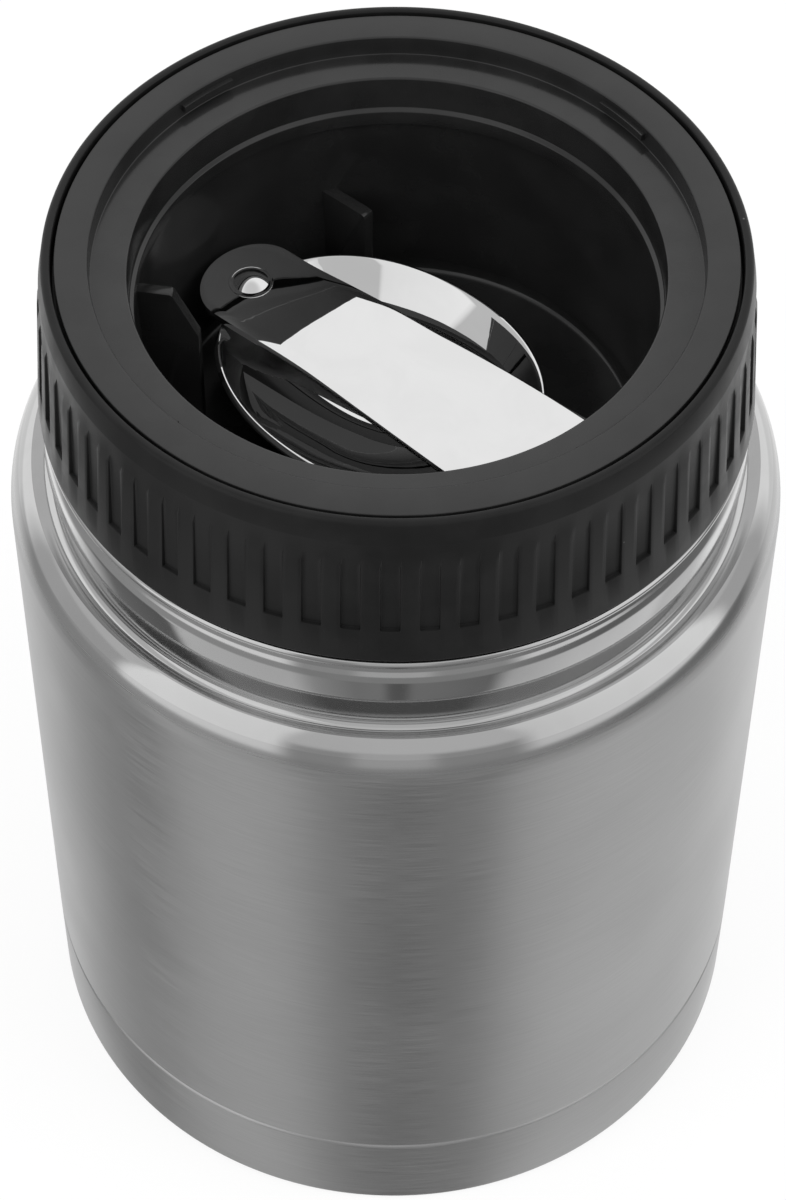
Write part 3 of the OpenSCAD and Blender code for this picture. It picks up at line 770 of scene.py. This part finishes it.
class FOODJAR_OT_body_shell(Operator):
    """Builds the outer wall: the brushed body, the polished shoulder and neck, and the thread"""
    bl_idname = "foodjar.body_shell"
    bl_label = "Body shell"

    def execute(self, context):
        jar = in_mm(context.scene.food_jar_body)
        neck, proud, edge = jar.neck_radius, jar.neck_radius + jar.ring_proud, 0.35
        ring_slope = 1.2
        ring_top = jar.lower_ring + jar.lower_ring_height + ring_slope
        shoulder_top = jar.body_top + jar.shoulder_height
        # From the seam up: the wall, the shoulder, the valley behind it, the neck with its
        # round lower ring and its sharper upper ring, and the wall that carries the thread
        outside = [
            (jar.body_radius - jar.seam_depth, jar.seam),
            (jar.body_radius, jar.seam + jar.seam_half, 0.25),
            *arc(neck, jar.body_top, jar.body_radius - neck, jar.shoulder_height, 0, 62, 24),
            (neck + 2.3, shoulder_top - 1.1, 0.25), (neck + 1.1, shoulder_top - 2.0, 0.45),
            (neck, shoulder_top - 1.5, 0.5),
            (neck, jar.lower_ring, 0.25), (proud - 0.1, jar.lower_ring + 0.1, 0.2),
            (proud + 0.1, jar.lower_ring + 0.8, 0.35), (proud - 0.1, ring_top, 0.7),
            (neck - 0.1, jar.upper_ring - 0.75, 0.5), (neck - 0.1, jar.upper_ring - 0.1, 0.1),
            (proud, jar.upper_ring + edge, 0.25),
            (proud, jar.neck_top - edge, 0.25), (proud - edge, jar.neck_top, 0.25),
            (jar.thread_radius, jar.neck_top, 0.5), (jar.thread_radius, jar.shell_top)]
        # The same way down again, one sheet's thickness in
        inside = [
            (jar.thread_radius - jar.wall, jar.shell_top),
            (jar.thread_radius - jar.wall, jar.neck_top - jar.wall),
            (neck - jar.wall, jar.neck_top - jar.wall), (neck - jar.wall, shoulder_top - 2.6, 0.3),
            (neck + 1.0, shoulder_top - 2.9, 0.3), (neck + 2.4, shoulder_top - 2.0, 0.3),
            *arc(neck, jar.body_top, jar.body_radius - neck - jar.wall,
                 jar.shoulder_height - jar.wall, 62, 0),
            (jar.body_radius - jar.wall, jar.seam)]
        shell = turn_on_axis("body_shell", outside + inside, 256)
        leave_edit()
        join(shell, thread("neck_thread", jar.thread_radius - 0.3, jar.thread_radius + 1.05,
                           jar.neck_top + THREAD_START, 0))
        for face in shell.data.polygons:
            face.material_index = int(face.center.z / MM > shoulder_top - POLISH_DEPTH)
        complete(shell, "jar", "brushed_steel", ["outer_shell"], "body", "neck")
        return {"FINISHED"}


class FOODJAR_OT_base(Operator):
    """Builds the base cup with its standing ring, and the cover disc under it"""
    bl_idname = "foodjar.base"
    bl_label = "Base cup and cover"

    def execute(self, context):
        jar = in_mm(context.scene.food_jar_body)
        wall, recess = jar.wall, jar.recess_depth
        dimple_radius, dimple_hole, dimple_height = 3.2, 1.0, 1.2
        foot_in = jar.foot_radius - jar.foot_round
        cup = turn_on_axis("base_cup_detailed", [
            (jar.body_radius - jar.seam_depth, jar.seam),
            (jar.body_radius, jar.seam - jar.seam_half, 0.25),
            *arc(foot_in, jar.foot_round, jar.foot_round, jar.foot_round, 0, -90),
            (jar.recess_radius, 0, 0.5), (jar.recess_radius, recess, 0.8),
            (dimple_radius, recess, 0.5), (dimple_hole, recess + dimple_height),
            (dimple_hole, recess + dimple_height + wall), (dimple_radius, recess + wall),
            (jar.recess_radius + wall, recess + wall), (jar.recess_radius + wall, wall),
            *arc(foot_in, jar.foot_round, jar.foot_round - wall, jar.foot_round - wall, -90, 0),
            (jar.body_radius - wall, jar.seam - jar.seam_half),
            (jar.body_radius - wall, jar.seam)], 256)
        complete(cup, "jar", "brushed_steel", ["base_cup"], "body")
        cover_radius, ring_in, ring_out = node_radius("base_cover") / MM, 12, 35
        low, high = (corner.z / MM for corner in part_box("base_cover"))
        face = low + 0.2
        cover = turn_on_axis("base_cover_disc", [
            (0, face), (ring_in - 1, face, 0.4), (ring_in, low, 0.4), (ring_out, low, 0.4),
            (ring_out + 1, face, 0.4), (cover_radius - 1.2, face, 0.3),
            (cover_radius, low + 0.4, 0.1), (cover_radius, high), (0, high)], 192)
        complete(cover, "jar", "brushed_steel", ["base_cover"], "liner")
        return {"FINISHED"}


class FOODJAR_OT_liner(Operator):
    """Builds the steel liner that holds the food, with the rolled lip at the mouth"""
    bl_idname = "foodjar.liner"
    bl_label = "Liner"

    def execute(self, context):
        jar = in_mm(context.scene.food_jar_body)
        wall = jar.wall
        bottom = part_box("inner_vessel")[0].z / MM
        top = node_top("inner_vessel") / MM
        corner = jar.liner_radius - jar.liner_round
        shoulder = jar.liner_radius - jar.mouth_radius - wall
        shoulder_z, shoulder_rise = jar.body_top - 4, jar.shoulder_height + 1
        neck = jar.mouth_radius + wall
        liner = turn_on_axis("food_liner", [
            (0, bottom),
            *arc(corner, bottom + jar.liner_round, jar.liner_round, jar.liner_round, -90, 0, 16),
            *arc(neck, shoulder_z, shoulder, shoulder_rise, 0, 90, 16),
            (neck, jar.shell_top), (jar.thread_radius, jar.shell_top),
            (jar.thread_radius, top, 0.25), (jar.mouth_radius, top, 0.3),
            *arc(neck, shoulder_z, shoulder - wall, shoulder_rise - wall, 90, 0, 16),
            *arc(corner, bottom + jar.liner_round, jar.liner_round - wall,
                 jar.liner_round - wall, 0, -90, 16),
            (0, bottom + wall)], 192)
        complete(liner, "jar", "liner_steel", ["inner_vessel"], "liner")
        return {"FINISHED"}


class FOODJAR_OT_hidden_parts(Operator):
    """Gives the parts inside the walls and the lid their finishes"""
    bl_idname = "foodjar.hidden_parts"
    bl_label = "Parts inside"

    parts = {"radiation_foil": "foil", "getter_holder": "liner", "getter_pellet": "getter",
             "seal_off_bead": "bead", "foam_core": "foam"}

    def execute(self, context):
        for node, finish in self.parts.items():
            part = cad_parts[node]
            part.data.materials.clear()
            part.data.materials.append(FINISHES[finish])
        return {"FINISHED"}


class FOODJAR_OT_collar(Operator):
    """Builds the screw collar with its grip ribs, rounded rim and inner thread"""
    bl_idname = "foodjar.collar"
    bl_label = "Collar"

    def execute(self, context):
        lid = in_mm(context.scene.food_jar_lid)
        jar = in_mm(context.scene.food_jar_body)
        low, inner, band = lid.collar_bottom, lid.collar_inner, lid.band_radius
        slope_top = lid.rib_top + lid.rib_slope
        # The inner shelf, just under the insert's flange
        shelf_top = lid.flange_top - FLANGE_THICKNESS - 0.3
        shelf, shelf_in = shelf_top - lid.plastic, lid.plug_radius + 0.3
        near = 0.01

        def band_at(z):
            """The radius of the band and of the ribs' faces at a height."""
            return band - lid.draft * (z - low) / (lid.shoulder_z - low)

        def groove_at(z):
            """The radius of the grooves between the ribs at a height."""
            foot = band_at(lid.rib_bottom) - lid.rib_proud
            share_up = (z - lid.rib_bottom) / (lid.shoulder_z - lid.rib_bottom)
            return foot + (lid.shoulder_radius - foot) * share_up

        collar = turn_on_axis("collar_ribbed", [
            (inner + 0.4, low), (inner, low + 0.4), (inner, shelf, 0.2), (shelf_in, shelf),
            (shelf_in, shelf_top), (lid.rim_inner, shelf_top, 0.2),
            (lid.rim_inner, lid.rim_top, 0.35), (lid.rim_outer, lid.rim_top, 0.5),
            (lid.shoulder_radius, lid.shoulder_z, 0.08), (groove_at(slope_top), slope_top),
            (groove_at(lid.rib_top), lid.rib_top), (groove_at(lid.rib_bottom), lid.rib_bottom),
            (band_at(lid.rib_bottom), lid.rib_bottom), (band, low + 0.4, 0.2),
            (band - 0.4, low, 0.2)], lid.rib_count * 8)
        pitch = 2 * math.pi / lid.rib_count

        def at_rib(centre):
            """Whether a place is in the half of its pitch that has the rib."""
            return 0.25 < (math.atan2(centre.y, centre.x) - lid.rib_turn) / pitch % 1 < 0.75

        def on_rib(face):
            centre = centre_of(face)
            outer = abs(centre.xy.length - groove_at(centre.z)) < 3 * near
            return outer and lid.rib_bottom < centre.z < slope_top and at_rib(centre)

        def buried(face):
            centre = centre_of(face)
            ledge = (abs(centre.z - lid.rib_bottom) < near
                     and groove_at(centre.z) < centre.xy.length < band_at(centre.z))
            return ledge and at_rib(centre)

        pick(collar, "faces", on_rib)
        bpy.ops.mesh.extrude_region_move()
        growth = band_at(lid.rib_bottom) / groove_at(lid.rib_bottom)
        resize_round(growth)
        for height, radius in ((lid.rib_top, band_at(lid.rib_top)),
                               (slope_top, groove_at(slope_top))):
            raised = groove_at(height) * growth
            pick(collar, "verts", lambda vertex: abs(vertex.co.z / MM - height) < near
                 and abs(vertex.co.xy.length / MM - raised) < near)
            resize_round(radius / raised)
        merge_and_orient()
        pick(collar, "faces", buried)
        bpy.ops.mesh.delete(type="FACE")
        orient()
        soften_edges(collar, width=0.12, segments=2, degrees=50)
        below_neck_thread = 2.55
        join(collar, thread("collar_thread", inner + 0.3, jar.thread_radius + 0.35,
                            jar.neck_top + THREAD_START - below_neck_thread, 120))
        complete(collar, "collar", "collar_plastic", ["lid_collar"], "collar")
        return {"FINISHED"}


class FOODJAR_OT_insert(Operator):
    """Builds the insert: flange, step with bayonet lugs, ledge and the spoon's compartment"""
    bl_idname = "foodjar.insert"
    bl_label = "Lid insert"

    # Direction of each guide rib's place on the wall and its turn from straight inwards, in
    # degrees; the depth of its top under the ledge, its length at the top, and the length and
    # height of its slope, in millimetres
    guides = ((170.7, 0, 9.5, 4.5, 3.2, 7), (106.4, 34, 18.4, 6.8, 0.4, 0.4),
              (-40.5, 0, 3.6, 1.8, 0.6, 1))

    def execute(self, context):
        lid = in_mm(context.scene.food_jar_lid)
        top, ledge, step, cup = lid.flange_top, lid.ledge, lid.step_radius, lid.cup_radius
        floor, under_floor = lid.cup_floor, lid.cup_floor - lid.plastic
        pad_top, pad_radius, round_in, round_up = floor + 0.7, 5, 1.2, 1.7
        ring_low, ring_high, ring = ledge - 7.5, ledge - 5.3, cup - 0.6
        lug_low, lug_high, lug_proud = (ledge + top - 1) / 2, (ledge + top + 1) / 2, 0.6
        outer_cup, under_ledge = cup + lid.plastic, ledge - lid.plastic
        under_flange = top - FLANGE_THICKNESS
        insert = turn_on_axis("lid_insert_detailed", [
            (0, pad_top), (pad_radius, pad_top, 0.3), (pad_radius, floor, 0.3),
            *arc(lid.cup_floor_radius - round_in, floor + round_up, round_in, round_up, -90, 0, 8),
            (cup, ring_low - 0.3, 0.1), (ring, ring_low, 0.15), (ring, ring_high, 0.15),
            (cup, ring_high + 0.3, 0.1), (cup, ledge, 0.35), (step - 0.05, ledge, 0.12),
            (step, lug_low), (step, lug_high), (step, top, 0.3), (lid.flange_radius, top, 0.15),
            (lid.flange_radius, under_flange), (lid.plug_radius, under_flange),
            (lid.plug_radius, under_ledge), (outer_cup, under_ledge),
            (outer_cup, under_floor + 3.4, 1.5), (outer_cup - 2, under_floor, 1.5),
            (0, under_floor)], 240)
        quarter = math.pi / 2
        middle = (lug_low + lug_high) / 2

        def on_lug(face):
            centre = centre_of(face)
            turned = (math.atan2(centre.y, centre.x) - lid.lug_turn + quarter / 2) % quarter
            near = abs(turned - quarter / 2) < lid.lug_sweep / 2
            wall = abs(math.hypot(centre.x, centre.y) - step) < 0.02
            return near and wall and abs(centre.z - middle) < 0.2

        pick(insert, "faces", on_lug)
        bpy.ops.mesh.extrude_region_move()
        resize_round((step - lug_proud) / step)
        orient()
        leave_edit()
        thickness, buried, ribs = 1.6, 0.3, []
        for direction, turned, drop, reach, fall_length, fall in self.guides:
            high, end = ledge - drop, -reach - fall_length
            rib = draw("guide_rib", [
                (0.6, high), (-reach, high, 0.3), (end, high - fall, 0.3), (end, floor - buried),
                (-0.2, floor - buried)])
            bpy.ops.mesh.select_all(action="SELECT")
            bpy.ops.mesh.edge_face_add()
            bpy.ops.mesh.extrude_region_move(
                TRANSFORM_OT_translate={"value": (0, thickness * MM, 0)})
            merge_and_orient()
            soften_edges(rib, width=0.18, segments=2, degrees=40)
            turn_piece(rib, math.radians(turned), (0, -thickness / 2, 0))
            turn_piece(rib, math.radians(direction), (cup, 0, 0))
            ribs.append(rib)
        join(insert, *ribs)
        complete(insert, "lid", "lid_plastic", ["lid_insert"], "insert")
        return {"FINISHED"}


class FOODJAR_OT_plug(Operator):
    """Builds the plug that reaches into the mouth, and the silicone seal under its flange"""
    bl_idname = "foodjar.plug"
    bl_label = "Plug and seal"

    def execute(self, context):
        lid = in_mm(context.scene.food_jar_lid)
        radius, bottom, wall, corner = lid.plug_radius, lid.plug_bottom, lid.plastic, 5.0
        low, seal_height, wall_top = lid.seal_bottom, 2.6, lid.ledge - wall
        flange, flange_radius, flange_top = low + seal_height, 42.2, low + seal_height + wall
        face, face_in, face_out = bottom + 0.4, 24, 26
        plug = turn_on_axis("lid_plug_detailed", [
            (0, face), (face_in, face, 1.0), (face_out, bottom, 1.0),
            *arc(radius - corner, bottom + corner, corner, corner, -90, 0),
            (radius, flange), (flange_radius, flange, 0.3), (flange_radius, flange_top, 0.3),
            (radius + 0.3, flange_top), (radius + 0.3, wall_top), (radius - wall, wall_top),
            *arc(radius - corner, bottom + corner, corner - wall, corner - wall, 0, -90),
            (0, bottom + wall)], 192)
        complete(plug, "lid", "lid_plastic", ["lid_plug"], "plug")
        inner, outer = radius + 0.05, flange_radius - 0.5
        seal = turn_on_axis("lid_seal", [
            (inner, low + 0.5, 0.1), (inner + 0.95, low, 0.2), (outer - 1, low, 0.2),
            (outer, low + 0.5, 0.15), (outer, low + 1, 0.15), (outer - 0.5, low + 1.5, 0.15),
            (outer, low + 2, 0.15), (outer, flange), (inner, flange)], 192)
        complete(seal, "lid", "silicone", ["lid_gasket"], "seal")
        return {"FINISHED"}


def on_spoon_axis(piece, spoon):
    """Places a piece that was modelled with the rivet at its origin and the handle along +X."""
    turn_piece(piece, spoon.turn, (-spoon.pivot_distance, spoon.pivot_side, 0))


class FOODJAR_OT_spoon_bowl(Operator):
    """Builds the spoon's bowl with the neck plate that the rivet goes through"""
    bl_idname = "foodjar.spoon_bowl"
    bl_label = "Spoon bowl"

    def execute(self, context):
        spoon = in_mm(context.scene.food_jar_spoon)
        rings, spokes, full = 30, 180, spoon.bowl_fullness
        bunching, softness = 0.62, 0.35
        # A flat disc 1 m in radius, so that a distance from its middle is a share from 0 to 1
        bowl = turn_on_axis("spoon_bowl_detailed",
                            [(i / rings / MM, 0) for i in range(rings + 1)], spokes, closed=False)

        def full_length(x, y):
            return (abs(x) ** full + abs(y) ** full) ** (1 / full)

        def shaped(x, y, z):
            """Fits the disc's rings to the bowl's outline and its round plate, and dips them."""
            reach, turn = math.hypot(x, y) * MM, math.atan2(y, x)
            turn += bunching * math.sin(turn)
            along, across = math.cos(turn), math.sin(turn)
            length_here = spoon.bowl_front if along > 0 else spoon.bowl_back
            oval = 1 / full_length(along / length_here, across / spoon.bowl_half)
            off = spoon.bowl_middle * abs(across)
            if along < 0 and off < spoon.plate_radius:
                plate = -spoon.bowl_middle * along + math.sqrt(spoon.plate_radius ** 2 - off ** 2)
                oval = max(oval, plate) + softness * math.exp(-abs(oval - plate) / softness)
            out_x = spoon.bowl_middle + reach * oval * along
            out_y = reach * oval * across + spoon.bowl_side
            size = spoon.bowl_back if out_x < spoon.bowl_middle else spoon.bowl_front
            inside = min(1.0, full_length((out_x - spoon.bowl_middle) / size,
                                          (out_y - spoon.bowl_side) / spoon.bowl_half))
            dish = smooth((math.hypot(out_x, out_y) - spoon.dish_start) / spoon.dish_run)
            return out_x, out_y, spoon.bowl_rim - spoon.bowl_depth * (
                1 - inside ** spoon.bowl_curve) * dish

        mould(bowl, shaped)
        face_up(bowl)
        modify(bowl, "SOLIDIFY", thickness=spoon.sheet * MM, offset=-1.0)
        soften_edges(bowl, width=0.3, segments=3, degrees=50)
        turn_piece(bowl, spoon.bowl_skew)
        on_spoon_axis(bowl, spoon)
        complete(bowl, "spoon", "polished_steel", ["spoon_bowl"], "spoon")
        return {"FINISHED"}


class FOODJAR_OT_spoon_handle(Operator):
    """Builds the flat handle, round at the rivet and wide at its end"""
    bl_idname = "foodjar.spoon_handle"
    bl_label = "Spoon handle"

    def execute(self, context):
        spoon = in_mm(context.scene.food_jar_spoon)
        deselect_all()
        # A grid from -1 to 1 mm both ways, which is stretched to the handle's outline
        bpy.ops.mesh.primitive_grid_add(x_subdivisions=90, y_subdivisions=12, size=2 * MM)
        handle = name_piece("spoon_handle_detailed")
        start, end, corner = -spoon.plate_radius, spoon.handle_length, spoon.handle_corner
        rise_start, rise_run, fall_start, fall_run = 2, 15, 17, 35
        hollow_start, hollow_run, hollow_end, hollow_fade = 3, 8, 25, 10

        def half_width(s):
            """Half the handle's width at a distance from the rivet."""
            if s > end - corner:
                return spoon.handle_half - corner + math.sqrt(
                    max(0.0, corner ** 2 - (s - end + corner) ** 2))
            if s < 0:
                return spoon.neck_half * math.sqrt(max(0.0, 1 - (s / start) ** 2))
            return spoon.neck_half + (spoon.handle_half - spoon.neck_half) * smooth(s / end)

        def shaped(x, y, z):
            s = start + (end - start) * (1 - math.cos((x + 1) * math.pi / 2)) / 2
            bend = spoon.handle_rise * (smooth((s - rise_start) / rise_run)
                                        - smooth((s - fall_start) / fall_run))
            hollow = spoon.handle_hollow * y * y * smooth((s - hollow_start) / hollow_run)
            hollow *= smooth((hollow_end - s) / hollow_fade)
            return s, y * half_width(s), spoon.handle_top + bend + hollow

        mould(handle, shaped)
        activate(handle)
        bpy.ops.object.mode_set(mode="EDIT")
        merge_and_orient()
        leave_edit()
        face_up(handle)
        modify(handle, "SOLIDIFY", thickness=spoon.sheet * MM, offset=-1.0)
        # Faces that look down take the darker steel, a painted shade under the handle
        for face in handle.data.polygons:
            face.material_index = int(face.normal.z < -0.7)
        soften_edges(handle, width=0.14, segments=3, degrees=50)
        on_spoon_axis(handle, spoon)
        complete(handle, "handle", "polished_steel", ["spoon_handle"], "spoon", "spoon_back")
        return {"FINISHED"}


class FOODJAR_OT_spoon_rivet(Operator):
    """Builds the rivet that the handle swivels on, with a dome in its ringed head"""
    bl_idname = "foodjar.spoon_rivet"
    bl_label = "Spoon rivet"

    def execute(self, context):
        spoon = in_mm(context.scene.food_jar_spoon)
        low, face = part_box("spoon_rivet")[0].z / MM, spoon.handle_top
        radius, shank, dome, dome_round = spoon.rivet_radius, 1.6, 0.5, 5.5
        head_top, cap_low, ring_top, edge = low + 0.5, face - 0.4, face + 0.03, radius - 0.45
        fall = math.degrees(math.asin(edge / dome_round))
        rivet = turn_on_axis("spoon_rivet_detailed", [
            (0, low), (radius, low, 0.25), (radius, head_top), (shank, head_top),
            (shank, cap_low), (radius, cap_low), (radius, ring_top, 0.04),
            (edge + 0.1, ring_top, 0.06), (edge, face - 0.2, 0.05),
            *arc(0, face + dome - dome_round, dome_round, dome_round, 90 - fall, 90, 10)], 64)

        def hammered(x, y, z):
            """Tilts the dome a little, as on a head that was hammered by hand."""
            reach = math.hypot(x, y) / edge
            on_dome = reach < 1 and z > face - 0.1
            return x, y, z - on_dome * (0.1 * x - 0.11 * y) * (1 - reach ** 2)

        mould(rivet, hammered)
        on_spoon_axis(rivet, spoon)
        complete(rivet, "spoon", "polished_steel", ["spoon_rivet"], "spoon")
        return {"FINISHED"}


def levels(tree, degrees, stops):
    """A level that follows a direction in degrees from -180 to 180 through (degrees, level)."""
    made = add_node(tree, "ShaderNodeValToRGB", Fac=ramp(tree, degrees, -180, 180, kind="LINEAR"))
    elements = made.color_ramp.elements
    for turn, level in stops[1:-1]:
        elements.new((turn + 180) / 360)
    for element, (turn, level) in zip(elements, stops):
        element.position = (turn + 180) / 360
        element.color = grey(level)
    return made.outputs["Color"]


def mirrored_rays(tree, path):
    """1 for rays that come from a glossy or clear surface, and 0 for the others."""
    return maths(tree, "MAXIMUM", path["Is Glossy Ray"], path["Is Transmission Ray"])


def build_world(scene, studio):
    """A white surround; in glossy surfaces it shows as a room with two side softboxes.

    The room's levels go by direction, where 0 is the front, -90 the left and 90 the right.
    """
    world = bpy.data.worlds.new("Studio")
    scene.world = world
    world.use_nodes = True
    tree = world.node_tree
    tree.nodes.clear()
    point = add_node(tree, "ShaderNodeTexCoord").outputs["Generated"]
    split = add_node(tree, "ShaderNodeSeparateXYZ", Vector=point).outputs
    turned = maths(tree, "DEGREES", maths(tree, "ARCTAN2", split["X"],
                                          maths(tree, "MULTIPLY", split["Y"], -1.0)))
    raised = maths(tree, "DEGREES", maths(tree, "ARCSINE", split["Z"]))
    near_table = levels(tree, turned, [
        (-180, 1.0), (-125, 1.0), (-112, 0.5), (-100, 0.18), (-74, 0.12),
        (-71, 0.62), (-32, 0.56), (-25, 0.34), (-12, 0.22), (-4, 0.24), (-1, 0.12),
        (3, 0.12), (6, 0.22), (18, 0.2), (30, 0.17), (36, 0.52), (60, 0.68), (88, 0.78),
        (94, 0.65), (108, 0.7), (120, 1.0), (180, 1.0)])
    far_table = levels(tree, turned, [
        (-180, 1.0), (-125, 0.8), (-110, 0.35), (-30, 0.35), (-24, 0.28), (30, 0.28), (60, 0.15),
        (100, 0.2), (120, 0.8), (180, 1.0)])
    room = levels(tree, turned, [
        (-180, 1.0), (-118, 1.0), (-108, 0.5), (-74, 0.45), (-71, 1.0), (-30, 0.9), (-25, 0.35),
        (-12, 0.35), (-8, 0.5), (8, 0.5), (12, 0.35), (30, 0.35), (36, 0.8), (89, 1.0),
        (94, 0.5), (112, 0.5), (122, 1.0), (180, 1.0)])
    room = maths(tree, "MAXIMUM", room, ramp(tree, raised, 8, 25, 0.0, 0.6))
    # Upwards from below, each takes over from the last: near table, far table, room, ceiling
    level = blend_colours(tree, ramp(tree, raised, -38, -32), near_table, far_table)
    level = blend_colours(tree, ramp(tree, raised, -12, -7), level, room)
    level = blend_colours(tree, ramp(tree, raised, 63, 75), level, grey(0.68))
    # Rays that were mirrored before see a darker room from 41 to 62 degrees up, which tells the
    # neck's rings apart. The mirror-sharp ones among them, which only the spoon sends, see an
    # almost black room from 10 degrees up, which keeps its bowl dark.
    path = add_node(tree, "ShaderNodeLightPath").outputs
    mirrored_before = maths(tree, "GREATER_THAN", path["Glossy Depth"], 1.5)
    again = maths(tree, "MULTIPLY", mirrored_before,
                  maths(tree, "MULTIPLY", ramp(tree, raised, 41, 45),
                        ramp(tree, raised, 58, 62, 1.0, 0.0)))
    darker_room = levels(tree, turned, [
        (-180, 0.6), (-115, 0.5), (-108, 0.14), (-72, 0.14), (-62, 0.6), (-35, 0.5),
        (-25, 0.22), (25, 0.22), (35, 0.5), (60, 0.6), (130, 0.6), (180, 0.6)])
    level = blend_colours(tree, again, level, darker_room)
    sharp = maths(tree, "MULTIPLY", path["Is Singular Ray"], mirrored_before)
    sharp = maths(tree, "MULTIPLY", sharp, ramp(tree, raised, 10, 20))
    level = blend_colours(tree, sharp, level, grey(0.07))
    around = ramp(tree, split["Z"], -0.1, 0.7, studio.horizon_level, studio.world_level)
    plain = blend_colours(tree, path["Is Camera Ray"], around, grey(1))
    background = add_node(tree, "ShaderNodeBackground", Strength=1.0,
                          Color=blend_colours(tree, mirrored_rays(tree, path), plain, level))
    out = add_node(tree, "ShaderNodeOutputWorld")
    tree.links.new(background.outputs[0], out.inputs["Surface"])


def floor_finish(studio):
    """A pale floor: white to the camera but for the jar's soft shadow, and clear from below.

    Glossy surfaces look through it at the studio.
    """
    material, tree, shader = new_material("Studio floor", studio.floor_colour, Roughness=0.9,
                                          Specular_IOR_Level=0.1)
    tint(tree, shader, noise(tree, object_point(tree), scale=6.0), 0.99, 1.01)
    path = add_node(tree, "ShaderNodeLightPath").outputs
    glow = add_node(tree, "ShaderNodeEmission", Color=grey(1), Strength=studio.floor_level)
    lit = add_node(tree, "ShaderNodeMixShader",
                   Fac=maths(tree, "MULTIPLY", path["Is Camera Ray"], 1.0 - studio.shadow_share))
    clear = add_node(tree, "ShaderNodeBsdfTransparent")
    under = add_node(tree, "ShaderNodeNewGeometry").outputs["Backfacing"]
    both = add_node(tree, "ShaderNodeMixShader",
                    Fac=maths(tree, "MAXIMUM", under, mirrored_rays(tree, path)))
    for mix, first, other in ((lit, shader, glow), (both, lit, clear)):
        tree.links.new(first.outputs[0], mix.inputs[1])
        tree.links.new(other.outputs[0], mix.inputs[2])
    tree.links.new(both.outputs[0], tree.nodes["Material Output"].inputs["Surface"])
    return material


def add_floor(studio):
    """A round floor, a little below the jar so that their faces don't coincide."""
    deselect_all()
    bpy.ops.mesh.primitive_circle_add(vertices=96, radius=3.0, fill_type="NGON",
                                      location=(0, 0, -0.02 * MM))
    floor = name_piece("studio_floor")
    bpy.ops.object.transform_apply(location=True)
    floor.data.materials.append(floor_finish(studio))


def add_lamp(studio, side, place):
    """A soft lamp that points at the jar's foot and isn't mirrored in it."""
    bpy.ops.object.light_add(type="AREA", location=place)
    lamp = bpy.context.object
    lamp.name = lamp.data.name = f"soft_lamp_{side}"
    lamp.rotation_euler = Vector(place).to_track_quat("Z", "Y").to_euler()
    lamp.data.shape = "RECTANGLE"
    lamp.data.size = 0.6
    lamp.data.size_y = 0.8
    lamp.data.energy = studio.lamp_power
    lamp.visible_camera = False
    lamp.visible_glossy = False


def add_camera(scene, studio):
    """The camera, in front of the jar and above it, looking down into its lid."""
    tilt, roll = math.radians(38.08), 0.006
    turn = Matrix.Rotation(tilt, 4, "X") @ Matrix.Rotation(roll, 4, "Z")
    bpy.ops.object.camera_add(location=(-0.0002766, -0.29496, 0.45332))
    camera = bpy.context.object
    camera.name = "product_camera"
    camera.rotation_euler = turn.to_euler()
    camera.data.lens = studio.lens
    camera.data.sensor_width = 36
    camera.data.clip_start = 0.01
    scene.camera = camera


class FOODJAR_OT_stage(Operator):
    """Builds the floor, the soft light and the camera"""
    bl_idname = "foodjar.stage"
    bl_label = "Stage"

    def execute(self, context):
        studio = context.scene.food_jar_studio
        add_floor(studio)
        add_lamp(studio, "left", (-0.75, -0.55, 0.8))
        add_lamp(studio, "right", (0.8, -0.35, 0.85))
        build_world(context.scene, studio)
        add_camera(context.scene, studio)
        context.scene.view_settings.view_transform = "Standard"
        deselect_all()
        return {"FINISHED"}


PIECES = (FOODJAR_OT_finishes, FOODJAR_OT_body_shell, FOODJAR_OT_base, FOODJAR_OT_liner,
          FOODJAR_OT_hidden_parts, FOODJAR_OT_collar, FOODJAR_OT_insert, FOODJAR_OT_plug,
          FOODJAR_OT_spoon_bowl, FOODJAR_OT_spoon_handle, FOODJAR_OT_spoon_rivet,
          FOODJAR_OT_stage)


class FOODJAR_PT_panel(Panel):
    """Lists the pieces and their sizes"""
    bl_idname = "FOODJAR_PT_panel"
    bl_label = "Insulated food jar"
    bl_space_type = "VIEW_3D"
    bl_region_type = "UI"
    bl_category = "Food jar"

    def draw(self, context):
        for operator in PIECES:
            self.layout.operator(operator.bl_idname)
        for key, group in GROUPS.items():
            box = self.layout.box()
            box.label(text=group.__doc__.rstrip("."))
            for name in group.__annotations__:
                box.prop(getattr(context.scene, key), name)


CLASSES = (*GROUPS.values(), *PIECES, FOODJAR_PT_panel)


def register():
    for each in CLASSES:
        bpy.utils.register_class(each)
    for key, group in GROUPS.items():
        setattr(bpy.types.Scene, key, PointerProperty(type=group))


def unregister():
    for key in GROUPS:
        delattr(bpy.types.Scene, key)
    for each in reversed(CLASSES):
        bpy.utils.unregister_class(each)


def main():
    register()
    for operator in PIECES:
        group, name = operator.bl_idname.split(".")
        getattr(getattr(bpy.ops, group), name)()


if __name__ == "__main__":
    main()
